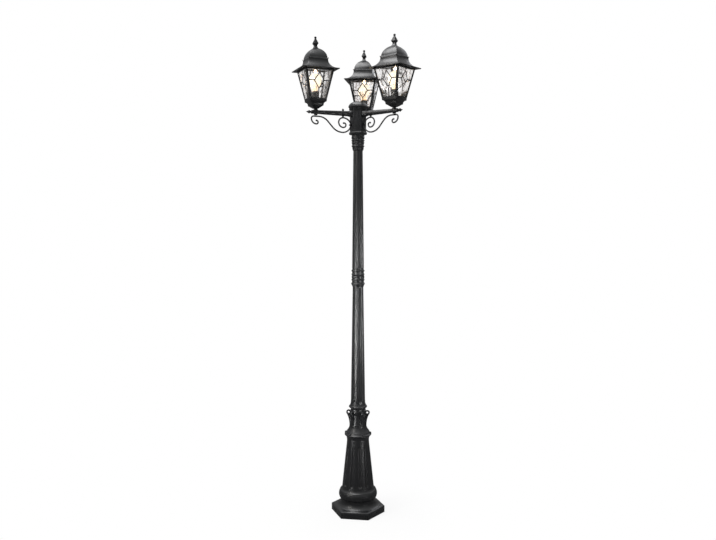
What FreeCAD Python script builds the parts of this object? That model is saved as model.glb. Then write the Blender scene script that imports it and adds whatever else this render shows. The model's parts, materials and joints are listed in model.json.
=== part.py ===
"""Triple head lamp post in cast aluminium: fluted post, three arms and three leaded lanterns.

Millimetres, +Z up. The origin is on the ground, on the post's axis. Three equal arms point to
90 (rear), 210 (left) and 330 degrees (right). The castings of the post are hollow, stacked on
spigots and clamped by one tie rod between the plinth's bridge and the hub's floor.
"""
import FreeCAD
import Part
import math
import os
from FreeCAD import Vector

# Arms: the name of each head and the direction of its arm, in degrees.
HEADS = {"rear": 90.0, "left": 210.0, "right": 330.0}
SIDES_OF_POST = 6
FLUTE_COUNT = 12

# Heights of the stacked castings, from the ground up.
PLINTH_HEIGHT = 118.0
FLUTED_BASE_HEIGHT = 268.0
VASE_HEIGHT = 198.0
LOWER_COLUMN_LENGTH = 586.0
MID_COUPLING_HEIGHT = 98.0
UPPER_COLUMN_LENGTH = 588.0
TOP_COUPLING_HEIGHT = 79.0
HUB_HEIGHT = 137.0
CAP_HEIGHT = 27.0

# Walls and fits.
CASTING_WALL = 5.0
COLUMN_WALL = 3.5
SPIGOT_HEIGHT = 12.0
SPIGOT_WALL = 4.0
SPIGOT_CLEARANCE = 0.25
BOLT_CLEARANCE = 0.25
PANE_CLEARANCE = 0.3
SEAT_GAP = 0.1

# Plinth.
PLINTH_CORNER_RADIUS = 139.0
PLINTH_EDGE_HEIGHT = 33.0
PLINTH_WEATHERING = 4.0
PLINTH_BEVEL = 9.0
SCOTIA_FOOT_RADIUS = 113.0
SCOTIA_NECK_RADIUS = 91.0
SCOTIA_HEIGHT = 37.0
SCOTIA_DEPTH = 8.0
TORUS_RADIUS = 99.0
PLINTH_WALL = 7.0
BRIDGE_THICKNESS = 10.0
LEDGE_WIDTH = 12.0
LEDGE_HEIGHT = 8.0

# Ground plate inside the plinth, its anchor holes and its cable entry.
GROUND_PLATE_THICKNESS = 6.0
GROUND_PLATE_GAP = 0.5
ANCHOR_HOLE_RADIUS = 6.0
ANCHOR_CIRCLE_RADIUS = 75.0
ANCHOR_COUNT = 3
LUG_WIDTH = 30.0
LUG_THICKNESS = 10.0
LUG_HEIGHT = 25.0
PLINTH_SCREW_RADIUS = 3.0
PLINTH_SCREW_HEIGHT = 20.0
GROMMET_BORE_RADIUS = 9.0
GROMMET_WALL = 3.0
GROMMET_LIP = 3.0

# Fluted base.
BELL_FOOT_RADIUS = 82.0
BELL_TOP_RADIUS = 57.5
BELL_FOOT_ROLL = 15.0
BELL_NECK_HEIGHT = 20.0
BELL_FLUTE_RADIUS = 14.5
BELL_FLUTE_TOP_RADIUS = 10.0
BELL_FLUTE_DEPTH = 4.5
BELL_FLUTE_MARGIN = 22.0

# Vase and its scroll ribs.
VASE_FOOT_RADIUS = 58.0
VASE_COLLAR_RADIUS = 69.0
VASE_COLLAR_HEIGHT = 24.0
VASE_WAIST_RADIUS = 40.5
VASE_WAIST_HEIGHT = 84.0
VASE_RIM_RADIUS = 40.0
VASE_RIM_HEIGHT = 140.0
VASE_BEAD_RADIUS = 46.6
VASE_BEAD_HEIGHT = 167.0
RIB_THICKNESS = 8.0
RIB_WIDTH = 7.0
RIB_EAR_RADIUS = 9.0
RIB_EAR_CENTRE_RADIUS = 48.6
RIB_EAR_CENTRE_HEIGHT = 135.0
RIB_KNOB_RADIUS = 5.5

# Columns.
LOWER_COLUMN_FOOT_RADIUS = 36.6
LOWER_COLUMN_TOP_RADIUS = 27.4
UPPER_COLUMN_FOOT_RADIUS = 30.0
UPPER_COLUMN_TOP_RADIUS = 23.8
COLUMN_FLUTE_DEPTH = 1.8
COLUMN_RIDGE_WIDTH = 2.4

# Couplings.
COUPLING_BODY_RADIUS = 30.8
COUPLING_BEAD_RADIUS = 34.0
COUPLING_GROOVE_RADIUS = 29.8
COUPLING_BEAD_HEIGHT = 11.0

# Hub.
HUB_CORNER_RADIUS = 41.5
HUB_RING_RADIUS = 45.5
HUB_RING_HEIGHT = 18.0
HUB_WALL = 5.0
HUB_FLOOR = 8.0
CAP_CORNER_RADIUS = 49.5
CAP_WALL = 3.0
CAP_RIM_HEIGHT = 7.0
CAP_SCREW_RADIUS = 2.0
ARM_HEIGHT_ON_HUB = 103.0

# Tie rod and its nuts.
TIE_ROD_RADIUS = 5.0
TIE_ROD_END = 12.0
NUT_HEIGHT = 8.0
NUT_CORNER_RADIUS = 9.8
WASHER_RADIUS = 15.0
WASHER_THICKNESS = 2.5

# Arms, tips and their lock nuts.
ARM_REACH = 222.4
ARM_ROOT_RADIUS = 12.9
ARM_END_RADIUS = 9.0
ARM_FLANGE_RADIUS = 17.5
ARM_FLANGE_THICKNESS = 4.0
ARM_FLARE_LENGTH = 26.0
ARM_OVERHANG = 15.0
ARM_BORE_RADIUS = 5.5
ARM_SPIGOT_RADIUS = 10.0
ARM_SEAT_HALF_HEIGHT = 10.0
ARM_SEAT_RADIUS = 9.5
LOCK_NUT_THICKNESS = 5.0
LOCK_NUT_CORNER_RADIUS = 15.0
TIP_STUD_RADIUS = 4.0
TIP_STUD_LENGTH = 8.0
TIP_COLLAR_RADIUS = 9.5
TIP_COLLAR_LENGTH = 8.0
TIP_NECK_RADIUS = 4.5
TIP_DIAMOND_RADIUS = 8.8
TIP_LENGTH = 35.0

# Scroll brackets. Their stretches are drawn for the first reach and follow the arm's.
SCROLL_DRAWN_REACH = 222.4
SCROLL_BAR_RADIUS = 3.6
SCROLL_START_DROP = 40.0
SCROLL_EYE_GROWTH = 0.9
SCROLL_BOLT_RADIUS = 2.5
SCROLL_BOLT_SEAT = 13.4
SCROLL_BALL_RADIUS = 5.0
HUB_PIN_RADIUS = 2.0
HUB_PIN_HEAD_RADIUS = 4.0

# Lantern: half widths are from its axis to the middle of a side.
LANTERN_FOOT_HEIGHT = 6.0
LANTERN_FOOT_RADIUS = 12.0
LANTERN_NECK_RADIUS = 8.5
PAN_CONE_HEIGHT = 13.0
PAN_STEP_HEIGHT = 7.0
PAN_COVE_HEIGHT = 12.0
PAN_RIM_HEIGHT = 11.0
PAN_FOOT_HALF = 11.0
PAN_STEP_HALF = 31.0
PAN_RIM_HALF = 43.4
PAN_WALL = 3.0
CAGE_HEIGHT = 139.6
CAGE_TOP_HALF = 72.2
CAGE_WALL = 3.5
CORNER_BAR_WIDTH = 9.5
CAGE_RAIL_HEIGHT = 5.0
CAGE_RAIL_WIDTH = 8.5
PANE_THICKNESS = 3.0
CAME_WIDTH = 4.5
CAME_THICKNESS = 1.2
LOZENGE_HALF_WIDTH = 25.0
LOZENGE_HALF_HEIGHT = 37.0
LOZENGE_CENTRE_HEIGHT = 85.0

# Roof and finial.
EAVE_HALF = 92.5
EAVE_THICKNESS = 4.0
BRIM_WIDTH = 5.0
SOFFIT_THICKNESS = 2.5
FLARE_SAGITTA = 10.5
BAND_HALF = 48.5
BAND_HEIGHT = 5.0
BAND_BASE_HEIGHT = 47.0
DOME_HALF = 46.3
DOME_HEIGHT = 52.4
DOME_SAGITTA = 8.5
ROOF_TOP_HALF = 14.0
ROOF_WALL = 2.2
ROOF_EAR_RADIUS = 5.0
ROOF_EAR_LENGTH = 11.0
FINIAL_BASE_HEIGHT = 13.0
FINIAL_NECK_HALF = 7.0
FINIAL_NECK_HEIGHT = 3.0
FINIAL_WIDE_HALF = 12.5
FINIAL_LOWER_HEIGHT = 9.0
FINIAL_UPPER_HEIGHT = 23.0
FINIAL_TOP_HALF = 3.0
FINIAL_BALL_RADIUS = 6.0
YOKE_WIDTH = 12.0
YOKE_THICKNESS = 3.0
STUD_RADIUS = 3.0
STUD_CLEARANCE = 0.06
STUD_ENGAGEMENT = 20.0

# Lampholder and bulb.
HOLDER_RADIUS = 17.5
HOLDER_HEIGHT = 67.0
HOLDER_SOCKET_DEPTH = 26.0
BULB_CAP_RADIUS = 13.2
BULB_CAP_CLEARANCE = 0.1
BULB_CAP_SHELL = 20.0
BULB_CAP_SEAT_GAP = 0.3
BULB_RADIUS = 30.0
BULB_HEIGHT = 78.0
BULB_NECK_RADIUS = 12.0
BULB_WALL = 1.0
NIPPLE_RADIUS = 5.0
NIPPLE_BORE_RADIUS = 3.2
NIPPLE_NUT_HEIGHT = 5.0
NIPPLE_NUT_CORNER_RADIUS = 8.0

# Terminal block.
TERMINAL_LENGTH = 30.0
TERMINAL_WIDTH = 16.0
TERMINAL_HEIGHT = 18.0
TERMINAL_POST_RADIUS = 3.0

# Levels worked out from the heights.
PLINTH_TOP = PLINTH_HEIGHT
FLUTED_BASE_TOP = PLINTH_TOP + FLUTED_BASE_HEIGHT
VASE_TOP = FLUTED_BASE_TOP + VASE_HEIGHT
LOWER_COLUMN_TOP = VASE_TOP + LOWER_COLUMN_LENGTH
MID_COUPLING_TOP = LOWER_COLUMN_TOP + MID_COUPLING_HEIGHT
UPPER_COLUMN_TOP = MID_COUPLING_TOP + UPPER_COLUMN_LENGTH
HUB_BASE = UPPER_COLUMN_TOP + TOP_COUPLING_HEIGHT
HUB_TOP = HUB_BASE + HUB_HEIGHT
ARM_LEVEL = HUB_BASE + ARM_HEIGHT_ON_HUB
LANTERN_FOOT = ARM_LEVEL + ARM_SEAT_HALF_HEIGHT
PAN_BASE = LANTERN_FOOT + LANTERN_FOOT_HEIGHT
PAN_FLOOR = PAN_BASE + PAN_CONE_HEIGHT + PAN_WALL
PAN_TOP = PAN_BASE + PAN_CONE_HEIGHT + PAN_STEP_HEIGHT + PAN_COVE_HEIGHT + PAN_RIM_HEIGHT
EAVE_LEVEL = PAN_TOP + CAGE_HEIGHT
BAND_LEVEL = EAVE_LEVEL + BAND_BASE_HEIGHT
ROOF_TOP = BAND_LEVEL + BAND_HEIGHT + DOME_HEIGHT
HUB_FLAT = HUB_CORNER_RADIUS * math.cos(math.pi / SIDES_OF_POST)
PLINTH_FLAT = PLINTH_CORNER_RADIUS * math.cos(math.pi / SIDES_OF_POST)
HOLDER_BASE = PAN_FLOOR + NIPPLE_NUT_HEIGHT
HOLDER_TOP = HOLDER_BASE + HOLDER_HEIGHT
BULB_CAP_BASE = HOLDER_TOP - HOLDER_SOCKET_DEPTH + BULB_CAP_SEAT_GAP

# Spigot radii, each inside the narrower of the two pieces that meet there.
PLINTH_SPIGOT = BELL_FOOT_RADIUS - CASTING_WALL - 4.0
BELL_SPIGOT = VASE_FOOT_RADIUS - CASTING_WALL - 4.0
VASE_SPIGOT = LOWER_COLUMN_FOOT_RADIUS - COLUMN_FLUTE_DEPTH - COLUMN_WALL
LOWER_COLUMN_SPIGOT = LOWER_COLUMN_TOP_RADIUS - COLUMN_FLUTE_DEPTH - COLUMN_WALL
MID_SPIGOT = UPPER_COLUMN_FOOT_RADIUS - COLUMN_FLUTE_DEPTH - COLUMN_WALL
UPPER_COLUMN_SPIGOT = UPPER_COLUMN_TOP_RADIUS - COLUMN_FLUTE_DEPTH - COLUMN_WALL
TOP_SPIGOT = COUPLING_GROOVE_RADIUS - CASTING_WALL - 4.0

Z_AXIS = Vector(0, 0, 1)
ORIGIN = Vector(0, 0, 0)


# ---------------------------------------------------------------- drawing helpers

class Outline:
    """A radius and height outline of straight lines and arcs, drawn point by point."""

    def __init__(self, radius, height):
        self.start = Vector(radius, 0, height)
        self.end = self.start
        self.edges = []

    def line(self, radius, height):
        """Straight to the next point."""
        point = Vector(radius, 0, height)
        if point.distanceToPoint(self.end) > 1e-6:
            self.edges.append(Part.LineSegment(self.end, point).toShape())
        self.end = point
        return self

    def arc(self, radius, height, sagitta):
        """Arc to the next point, bulging by the sagitta to the right of the way it goes."""
        point = Vector(radius, 0, height)
        along = (point - self.end).normalize()
        right = Vector(along.z, 0, -along.x)
        middle = (self.end + point) * 0.5 + right * sagitta
        self.edges.append(Part.Arc(self.end, middle, point).toShape())
        self.end = point
        return self

    def face(self):
        """The closed outline as a flat face in the XZ plane."""
        self.line(self.start.x, self.start.z)
        return Part.Face(Part.Wire(self.edges))


def revolved(outline):
    """Solid of revolution of an outline about the Z axis."""
    return outline.face().revolve(ORIGIN, Z_AXIS, 360)


def cylinder(radius, height, base, direction=Z_AXIS):
    """A cylinder from the centre of its base."""
    return Part.makeCylinder(radius, height, base, direction)


def ring(outer, inner, height, base, direction=Z_AXIS):
    """A flat washer or tube."""
    return cylinder(outer, height, base, direction).cut(cylinder(inner, height, base, direction))


def box(low, high):
    """A box between two corners."""
    size = high - low
    return Part.makeBox(size.x, size.y, size.z, low)


def prism(sides, corner_radius, height, base, turn=0.0):
    """A regular prism that stands on Z, with a corner at the turn angle."""
    corners = []
    for index in range(sides + 1):
        angle = math.radians(turn + 360.0 * index / sides)
        corners.append(base + Vector(corner_radius * math.cos(angle), corner_radius * math.sin(angle), 0))
    return Part.Face(Part.makePolygon(corners)).extrude(Vector(0, 0, height))


def polar(radius, degrees, height=0.0):
    """A point at a radius and an angle about the Z axis."""
    angle = math.radians(degrees)
    return Vector(radius * math.cos(angle), radius * math.sin(angle), height)


def turned(shape, degrees, centre=ORIGIN):
    """A copy turned about a vertical axis."""
    copy = shape.copy()
    copy.rotate(centre, Z_AXIS, degrees)
    return copy


def moved(shape, offset):
    """A copy moved by an offset."""
    copy = shape.copy()
    copy.translate(offset)
    return copy


def mitred(outline, sides):
    """A body with equal flat sides: its outline, from the axis to the middle of a side, mitred."""
    half = outline.face()
    reach = 2.2 * half.BoundBox.XMax
    other = half.mirror(ORIGIN, Vector(1, 0, 0))
    body = None
    for index in range(sides // 2):
        slab = half.extrude(Vector(0, 2 * reach, 0)).fuse(other.extrude(Vector(0, 2 * reach, 0)))
        slab = slab.removeSplitter()
        slab.translate(Vector(0, -reach, 0))
        slab = turned(slab, 360.0 * index / sides)
        body = slab if body is None else body.common(slab)
    return body.removeSplitter()


def hexagonal(outline):
    """A mitred body with six sides, three of which face the arms."""
    return turned(mitred(outline, SIDES_OF_POST), 30.0)


def with_spigot(piece, top, spigot_radius):
    """A piece with a short ring on its top that enters the next piece."""
    base = Vector(0, 0, top - SPIGOT_HEIGHT)
    return piece.fuse(ring(spigot_radius, spigot_radius - SPIGOT_WALL, 2 * SPIGOT_HEIGHT, base))


def with_socket(piece, base, spigot_radius):
    """A piece with a counterbore in its foot that takes the ring below."""
    depth = SPIGOT_HEIGHT + 1.0
    return piece.cut(cylinder(spigot_radius + SPIGOT_CLEARANCE, depth, Vector(0, 0, base)))


def solid(shape):
    """The single solid of a boolean result, or the shape when it holds several."""
    if len(shape.Solids) == 1:
        return shape.Solids[0]
    return shape


# ---------------------------------------------------------------- post

def plinth():
    """Hexagonal foot, scotia and torus, hollow, with a ledge and a bridge inside."""
    weathered = PLINTH_EDGE_HEIGHT + PLINTH_WEATHERING
    bevelled = PLINTH_FLAT - PLINTH_BEVEL
    foot = hexagonal(Outline(0, 0).line(PLINTH_FLAT, 0).line(PLINTH_FLAT, PLINTH_EDGE_HEIGHT)
                     .line(bevelled, weathered).line(0, weathered))
    neck = PLINTH_EDGE_HEIGHT + SCOTIA_HEIGHT + 5.0
    bulge = TORUS_RADIUS - SCOTIA_NECK_RADIUS - 2.0
    body = revolved(Outline(0, PLINTH_EDGE_HEIGHT).line(SCOTIA_FOOT_RADIUS, PLINTH_EDGE_HEIGHT)
                    .line(SCOTIA_FOOT_RADIUS, weathered)
                    .arc(SCOTIA_NECK_RADIUS, weathered + SCOTIA_HEIGHT, -SCOTIA_DEPTH)
                    .line(SCOTIA_NECK_RADIUS, neck)
                    .line(SCOTIA_NECK_RADIUS + 2.0, neck + 1.0)
                    .arc(SCOTIA_NECK_RADIUS + 2.0, PLINTH_HEIGHT - 2.0, bulge)
                    .line(SCOTIA_NECK_RADIUS, PLINTH_HEIGHT).line(0, PLINTH_HEIGHT))
    cavity_flat = PLINTH_FLAT - PLINTH_WALL
    cavity = hexagonal(Outline(0, 0).line(cavity_flat, 0).line(cavity_flat, PLINTH_EDGE_HEIGHT - PLINTH_WALL)
                       .line(0, PLINTH_EDGE_HEIGHT - PLINTH_WALL))
    inner_foot = SCOTIA_NECK_RADIUS - PLINTH_WALL
    bridge_base = PLINTH_HEIGHT - BRIDGE_THICKNESS
    throat = cylinder(inner_foot, bridge_base, ORIGIN)
    body = foot.fuse(body).cut(cavity).cut(throat)
    for angle in range(30, 390, 120):
        outer = polar(cavity_flat + 1.0, angle)
        ledge = box(Vector(0, -LUG_WIDTH / 2, 0), Vector(LEDGE_WIDTH + 1.0, LUG_WIDTH / 2, LEDGE_HEIGHT))
        ledge = turned(ledge, angle + 180.0)
        body = body.fuse(moved(ledge, outer + Vector(0, 0, GROUND_PLATE_THICKNESS)))
    body = with_spigot(body, PLINTH_HEIGHT, PLINTH_SPIGOT)
    body = body.cut(cylinder(TIE_ROD_RADIUS + BOLT_CLEARANCE, BRIDGE_THICKNESS, Vector(0, 0, bridge_base)))
    for angle in (60.0, 180.0, 300.0):
        cable_way = polar(PLINTH_SPIGOT / 2, angle, bridge_base)
        body = body.cut(cylinder(GROMMET_BORE_RADIUS, BRIDGE_THICKNESS, cable_way))
    for angle in HEADS.values():
        start = polar(PLINTH_FLAT - PLINTH_WALL - 1.0, angle, PLINTH_SCREW_HEIGHT)
        hole = cylinder(PLINTH_SCREW_RADIUS + BOLT_CLEARANCE, PLINTH_WALL + 2.0, start, polar(1, angle))
        body = body.cut(hole)
    return solid(body.removeSplitter())


def ground_plate():
    """Steel plate with three anchor holes, a cable hole and three tapped lugs."""
    lug_outer = PLINTH_FLAT - PLINTH_WALL - GROUND_PLATE_GAP
    corner = lug_outer / math.cos(math.pi / SIDES_OF_POST)
    plate = prism(SIDES_OF_POST, corner, GROUND_PLATE_THICKNESS, ORIGIN)
    plate = plate.cut(cylinder(GROMMET_BORE_RADIUS + GROMMET_WALL, GROUND_PLATE_THICKNESS, ORIGIN))
    for index in range(ANCHOR_COUNT):
        centre = polar(ANCHOR_CIRCLE_RADIUS, 30.0 + 360.0 * index / ANCHOR_COUNT)
        plate = plate.cut(cylinder(ANCHOR_HOLE_RADIUS, GROUND_PLATE_THICKNESS, centre))
    for angle in HEADS.values():
        lug = box(Vector(lug_outer - LUG_THICKNESS, -LUG_WIDTH / 2, 0),
                  Vector(lug_outer, LUG_WIDTH / 2, LUG_HEIGHT))
        plate = plate.fuse(turned(lug, angle))
        start = polar(lug_outer - LUG_THICKNESS - 1.0, angle, PLINTH_SCREW_HEIGHT)
        plate = plate.cut(cylinder(PLINTH_SCREW_RADIUS, LUG_THICKNESS + 2.0, start, polar(1, angle)))
    return solid(plate.removeSplitter())


def plinth_screws():
    """Three set screws through the plinth's sides into the ground plate's lugs."""
    length = PLINTH_WALL + GROUND_PLATE_GAP + LUG_THICKNESS - 2.0
    screws = []
    for angle in HEADS.values():
        start = polar(PLINTH_FLAT - length - 0.5, angle, PLINTH_SCREW_HEIGHT)
        screw = cylinder(PLINTH_SCREW_RADIUS, length, start, polar(1, angle))
        socket = prism(6, PLINTH_SCREW_RADIUS * 0.6, 3.0, ORIGIN)
        socket.rotate(ORIGIN, Vector(0, 1, 0), 90)
        socket = turned(socket, angle)
        screws.append(screw.cut(moved(socket, polar(PLINTH_FLAT - 3.5, angle, PLINTH_SCREW_HEIGHT))))
    return Part.makeCompound(screws)


def cable_grommet():
    """Rubber grommet that lines the cable hole of the ground plate."""
    outer = GROMMET_BORE_RADIUS + GROMMET_WALL
    return revolved(Outline(GROMMET_BORE_RADIUS, 0).line(outer, 0).line(outer, GROUND_PLATE_THICKNESS)
                    .line(outer + GROMMET_LIP, GROUND_PLATE_THICKNESS)
                    .line(outer + GROMMET_LIP, GROUND_PLATE_THICKNESS + 2.0)
                    .arc(GROMMET_BORE_RADIUS, GROUND_PLATE_THICKNESS + 4.0, 1.0))


def bell_flute():
    """Cutter for one round-ended flute, lying along the bell's slope on the +X side."""
    low = PLINTH_TOP + BELL_FOOT_ROLL + BELL_FLUTE_MARGIN
    high = FLUTED_BASE_TOP - BELL_NECK_HEIGHT - BELL_FLUTE_MARGIN
    slope = (BELL_FOOT_RADIUS - BELL_TOP_RADIUS) / (FLUTED_BASE_HEIGHT - BELL_FOOT_ROLL - BELL_NECK_HEIGHT)
    low_radius = BELL_FOOT_RADIUS - slope * BELL_FLUTE_MARGIN
    high_radius = BELL_TOP_RADIUS + slope * BELL_FLUTE_MARGIN
    foot = Vector(low_radius + BELL_FLUTE_RADIUS - BELL_FLUTE_DEPTH, 0, low)
    head = Vector(high_radius + BELL_FLUTE_TOP_RADIUS - BELL_FLUTE_DEPTH * 0.8, 0, high)
    axis = head - foot
    length = axis.Length
    cone = Part.makeCone(BELL_FLUTE_RADIUS, BELL_FLUTE_TOP_RADIUS, length, foot, axis)
    cutter = cone.fuse(Part.makeSphere(BELL_FLUTE_RADIUS, foot))
    return cutter.fuse(Part.makeSphere(BELL_FLUTE_TOP_RADIUS, head))


def fluted_base():
    """Tapering bell with twelve round-ended flutes, hollow."""
    roll_top = PLINTH_TOP + BELL_FOOT_ROLL
    neck = FLUTED_BASE_TOP - BELL_NECK_HEIGHT
    foot = SCOTIA_NECK_RADIUS + 2.0
    body = revolved(Outline(0, PLINTH_TOP).line(foot, PLINTH_TOP)
                    .arc(BELL_FOOT_RADIUS, roll_top, -2.0)
                    .line(BELL_TOP_RADIUS, neck)
                    .line(BELL_TOP_RADIUS - 1.0, FLUTED_BASE_TOP).line(0, FLUTED_BASE_TOP))
    cutter = bell_flute()
    for index in range(FLUTE_COUNT):
        body = body.cut(turned(cutter, 360.0 * (index + 0.5) / FLUTE_COUNT))
    inset = CASTING_WALL + BELL_FLUTE_DEPTH
    cavity = revolved(Outline(0, PLINTH_TOP).line(PLINTH_SPIGOT + SPIGOT_CLEARANCE, PLINTH_TOP)
                      .line(PLINTH_SPIGOT + SPIGOT_CLEARANCE, PLINTH_TOP + SPIGOT_HEIGHT + 1.0)
                      .line(BELL_FOOT_RADIUS - inset, roll_top)
                      .line(BELL_TOP_RADIUS - inset, neck)
                      .line(BELL_SPIGOT - SPIGOT_WALL, FLUTED_BASE_TOP).line(0, FLUTED_BASE_TOP))
    body = body.cut(cavity)
    return solid(with_spigot(body, FLUTED_BASE_TOP, BELL_SPIGOT).removeSplitter())


def scroll_rib():
    """One flat rib of the vase on the +X side: knob, stem and open curl."""
    knob_level = FLUTED_BASE_TOP + VASE_COLLAR_HEIGHT + RIB_KNOB_RADIUS
    knob = Vector(VASE_COLLAR_RADIUS - RIB_KNOB_RADIUS, 0, knob_level)
    curl = Vector(RIB_EAR_CENTRE_RADIUS, 0, FLUTED_BASE_TOP + RIB_EAR_CENTRE_HEIGHT)
    side = Vector(0, RIB_THICKNESS / 2, 0)
    across = Vector(0, 1, 0)
    rib = cylinder(RIB_KNOB_RADIUS, RIB_THICKNESS, knob - side, across)
    waist = FLUTED_BASE_TOP + VASE_WAIST_HEIGHT
    outer = VASE_WAIST_RADIUS + RIB_WIDTH / 2
    inner = VASE_WAIST_RADIUS - CASTING_WALL / 2
    base = FLUTED_BASE_TOP + VASE_COLLAR_HEIGHT + 8.0
    reach = RIB_EAR_RADIUS + RIB_WIDTH / 2
    stem = (Outline(outer + 11.0, base).arc(outer, waist - 8.0, -3.5)
            .arc(curl.x + 0.94 * reach, curl.z - 0.34 * reach, -3.5)
            .line(curl.x, curl.z - RIB_EAR_RADIUS)
            .line(inner, curl.z - RIB_EAR_RADIUS + 2.0)
            .line(inner, waist - 8.0)
            .line(inner + 7.0, base - 2.0)).face()
    stem = stem.extrude(Vector(0, RIB_THICKNESS, 0))
    rib = rib.fuse(moved(stem, Vector(0, 0, 0) - side))
    rib = rib.fuse(cylinder(reach, RIB_THICKNESS, curl - side, across))
    return rib.cut(cylinder(RIB_EAR_RADIUS - RIB_WIDTH / 2, RIB_THICKNESS, curl - side, across))


def vase():
    """Waisted casting with a collar, a rim and six scroll ribs, hollow."""
    base = FLUTED_BASE_TOP
    collar = base + VASE_COLLAR_HEIGHT
    waist = base + VASE_WAIST_HEIGHT
    rim = base + VASE_RIM_HEIGHT
    bead = base + VASE_BEAD_HEIGHT
    outline = (Outline(0, base).line(VASE_FOOT_RADIUS, base)
               .line(VASE_FOOT_RADIUS, base + 4.0)
               .arc(VASE_COLLAR_RADIUS - 1.0, collar - 5.0, -1.6)
               .arc(VASE_COLLAR_RADIUS - 1.5, collar + 2.0, 1.4)
               .arc(VASE_COLLAR_RADIUS - 9.0, collar + 10.0, -1.0)
               .line(VASE_COLLAR_RADIUS - 10.0, collar + 14.0)
               .arc(VASE_WAIST_RADIUS, waist, -4.5)
               .arc(VASE_RIM_RADIUS - 3.0, rim - 9.0, -1.2)
               .line(VASE_RIM_RADIUS, rim - 7.0)
               .arc(VASE_RIM_RADIUS, rim + 7.0, 1.8)
               .line(VASE_RIM_RADIUS - 3.0, rim + 8.0)
               .line(VASE_RIM_RADIUS - 3.0, bead - 9.0)
               .line(VASE_BEAD_RADIUS - 4.0, bead - 6.0)
               .arc(VASE_BEAD_RADIUS - 4.0, bead + 6.0, 4.0)
               .arc(LOWER_COLUMN_FOOT_RADIUS + 0.6, VASE_TOP, -2.0)
               .line(0, VASE_TOP))
    body = revolved(outline)
    rib = scroll_rib()
    for index in range(SIDES_OF_POST):
        body = body.fuse(turned(rib, 360.0 * index / SIDES_OF_POST))
    waist_bore = VASE_WAIST_RADIUS - CASTING_WALL
    cavity = revolved(Outline(0, base).line(BELL_SPIGOT + SPIGOT_CLEARANCE, base)
                      .line(BELL_SPIGOT + SPIGOT_CLEARANCE, base + SPIGOT_HEIGHT + 1.0)
                      .line(waist_bore, waist).line(VASE_SPIGOT - SPIGOT_WALL, VASE_TOP).line(0, VASE_TOP))
    body = body.cut(cavity)
    return solid(with_spigot(body, VASE_TOP, VASE_SPIGOT).removeSplitter())


def flute_wire(radius, height):
    """The outline of a fluted column at one height: narrow ridges and shallow flutes."""
    ridge = math.degrees(COLUMN_RIDGE_WIDTH / radius) / 2
    step = 360.0 / FLUTE_COUNT
    edges = []
    for index in range(FLUTE_COUNT):
        angle = index * step
        start = polar(radius, angle - ridge, height)
        middle = polar(radius, angle, height)
        end = polar(radius, angle + ridge, height)
        edges.append(Part.Arc(start, middle, end).toShape())
        valley = polar(radius - COLUMN_FLUTE_DEPTH, angle + step / 2, height)
        following = polar(radius, angle + step - ridge, height)
        edges.append(Part.Arc(end, valley, following).toShape())
    return Part.Wire(edges)


def fluted_column(base, top, foot_radius, top_radius, foot_spigot, top_spigot):
    """A tapering fluted tube with a socket in its foot and a spigot on its top."""
    body = Part.makeLoft([flute_wire(foot_radius, base), flute_wire(top_radius, top)], True, True)
    inset = COLUMN_FLUTE_DEPTH + COLUMN_WALL
    bore = Part.makeCone(foot_radius - inset - 0.5, top_radius - inset - 0.5, top - base, Vector(0, 0, base))
    body = with_socket(body.cut(bore), base, foot_spigot)
    return solid(with_spigot(body, top, top_spigot).removeSplitter())


def bead(outline, height, radius=COUPLING_BEAD_RADIUS):
    """Adds a round bead, from its lower edge, to a coupling's outline."""
    edge = radius - 3.4
    outline.line(edge, height)
    return outline.arc(edge, height + COUPLING_BEAD_HEIGHT, radius - edge)


def coupling(base, outline, top, foot_spigot, top_spigot, bore):
    """A turned coupling between two pieces of the post, bored through."""
    body = revolved(outline.line(0, top))
    body = body.cut(cylinder(bore, top - base, Vector(0, 0, base)))
    body = with_socket(body, base, foot_spigot)
    return solid(with_spigot(body, top, top_spigot).removeSplitter())


def mid_coupling():
    """Coupling between the two columns: two beads below and two above a plain band."""
    base = LOWER_COLUMN_TOP
    top = MID_COUPLING_TOP
    outline = Outline(0, base).line(LOWER_COLUMN_TOP_RADIUS + 0.8, base)
    outline.arc(COUPLING_BODY_RADIUS, base + 8.0, -1.0)
    bead(outline, base + 12.0, COUPLING_BEAD_RADIUS + 0.8)
    outline.line(COUPLING_GROOVE_RADIUS + 1.0, base + 26.0)
    bead(outline, base + 32.0, COUPLING_BEAD_RADIUS - 0.6)
    outline.line(COUPLING_BODY_RADIUS, top - 50.0)
    outline.line(COUPLING_BODY_RADIUS, top - 40.0)
    bead(outline, top - 38.0, COUPLING_BEAD_RADIUS - 1.0)
    outline.line(COUPLING_GROOVE_RADIUS, top - 26.0)
    outline.line(COUPLING_GROOVE_RADIUS, top - 22.0)
    bead(outline, top - 20.0, COUPLING_BEAD_RADIUS - 0.8)
    outline.arc(UPPER_COLUMN_FOOT_RADIUS + 0.5, top, -1.0)
    bore = LOWER_COLUMN_SPIGOT - SPIGOT_WALL
    return coupling(base, outline, top, LOWER_COLUMN_SPIGOT, MID_SPIGOT, bore)


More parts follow.
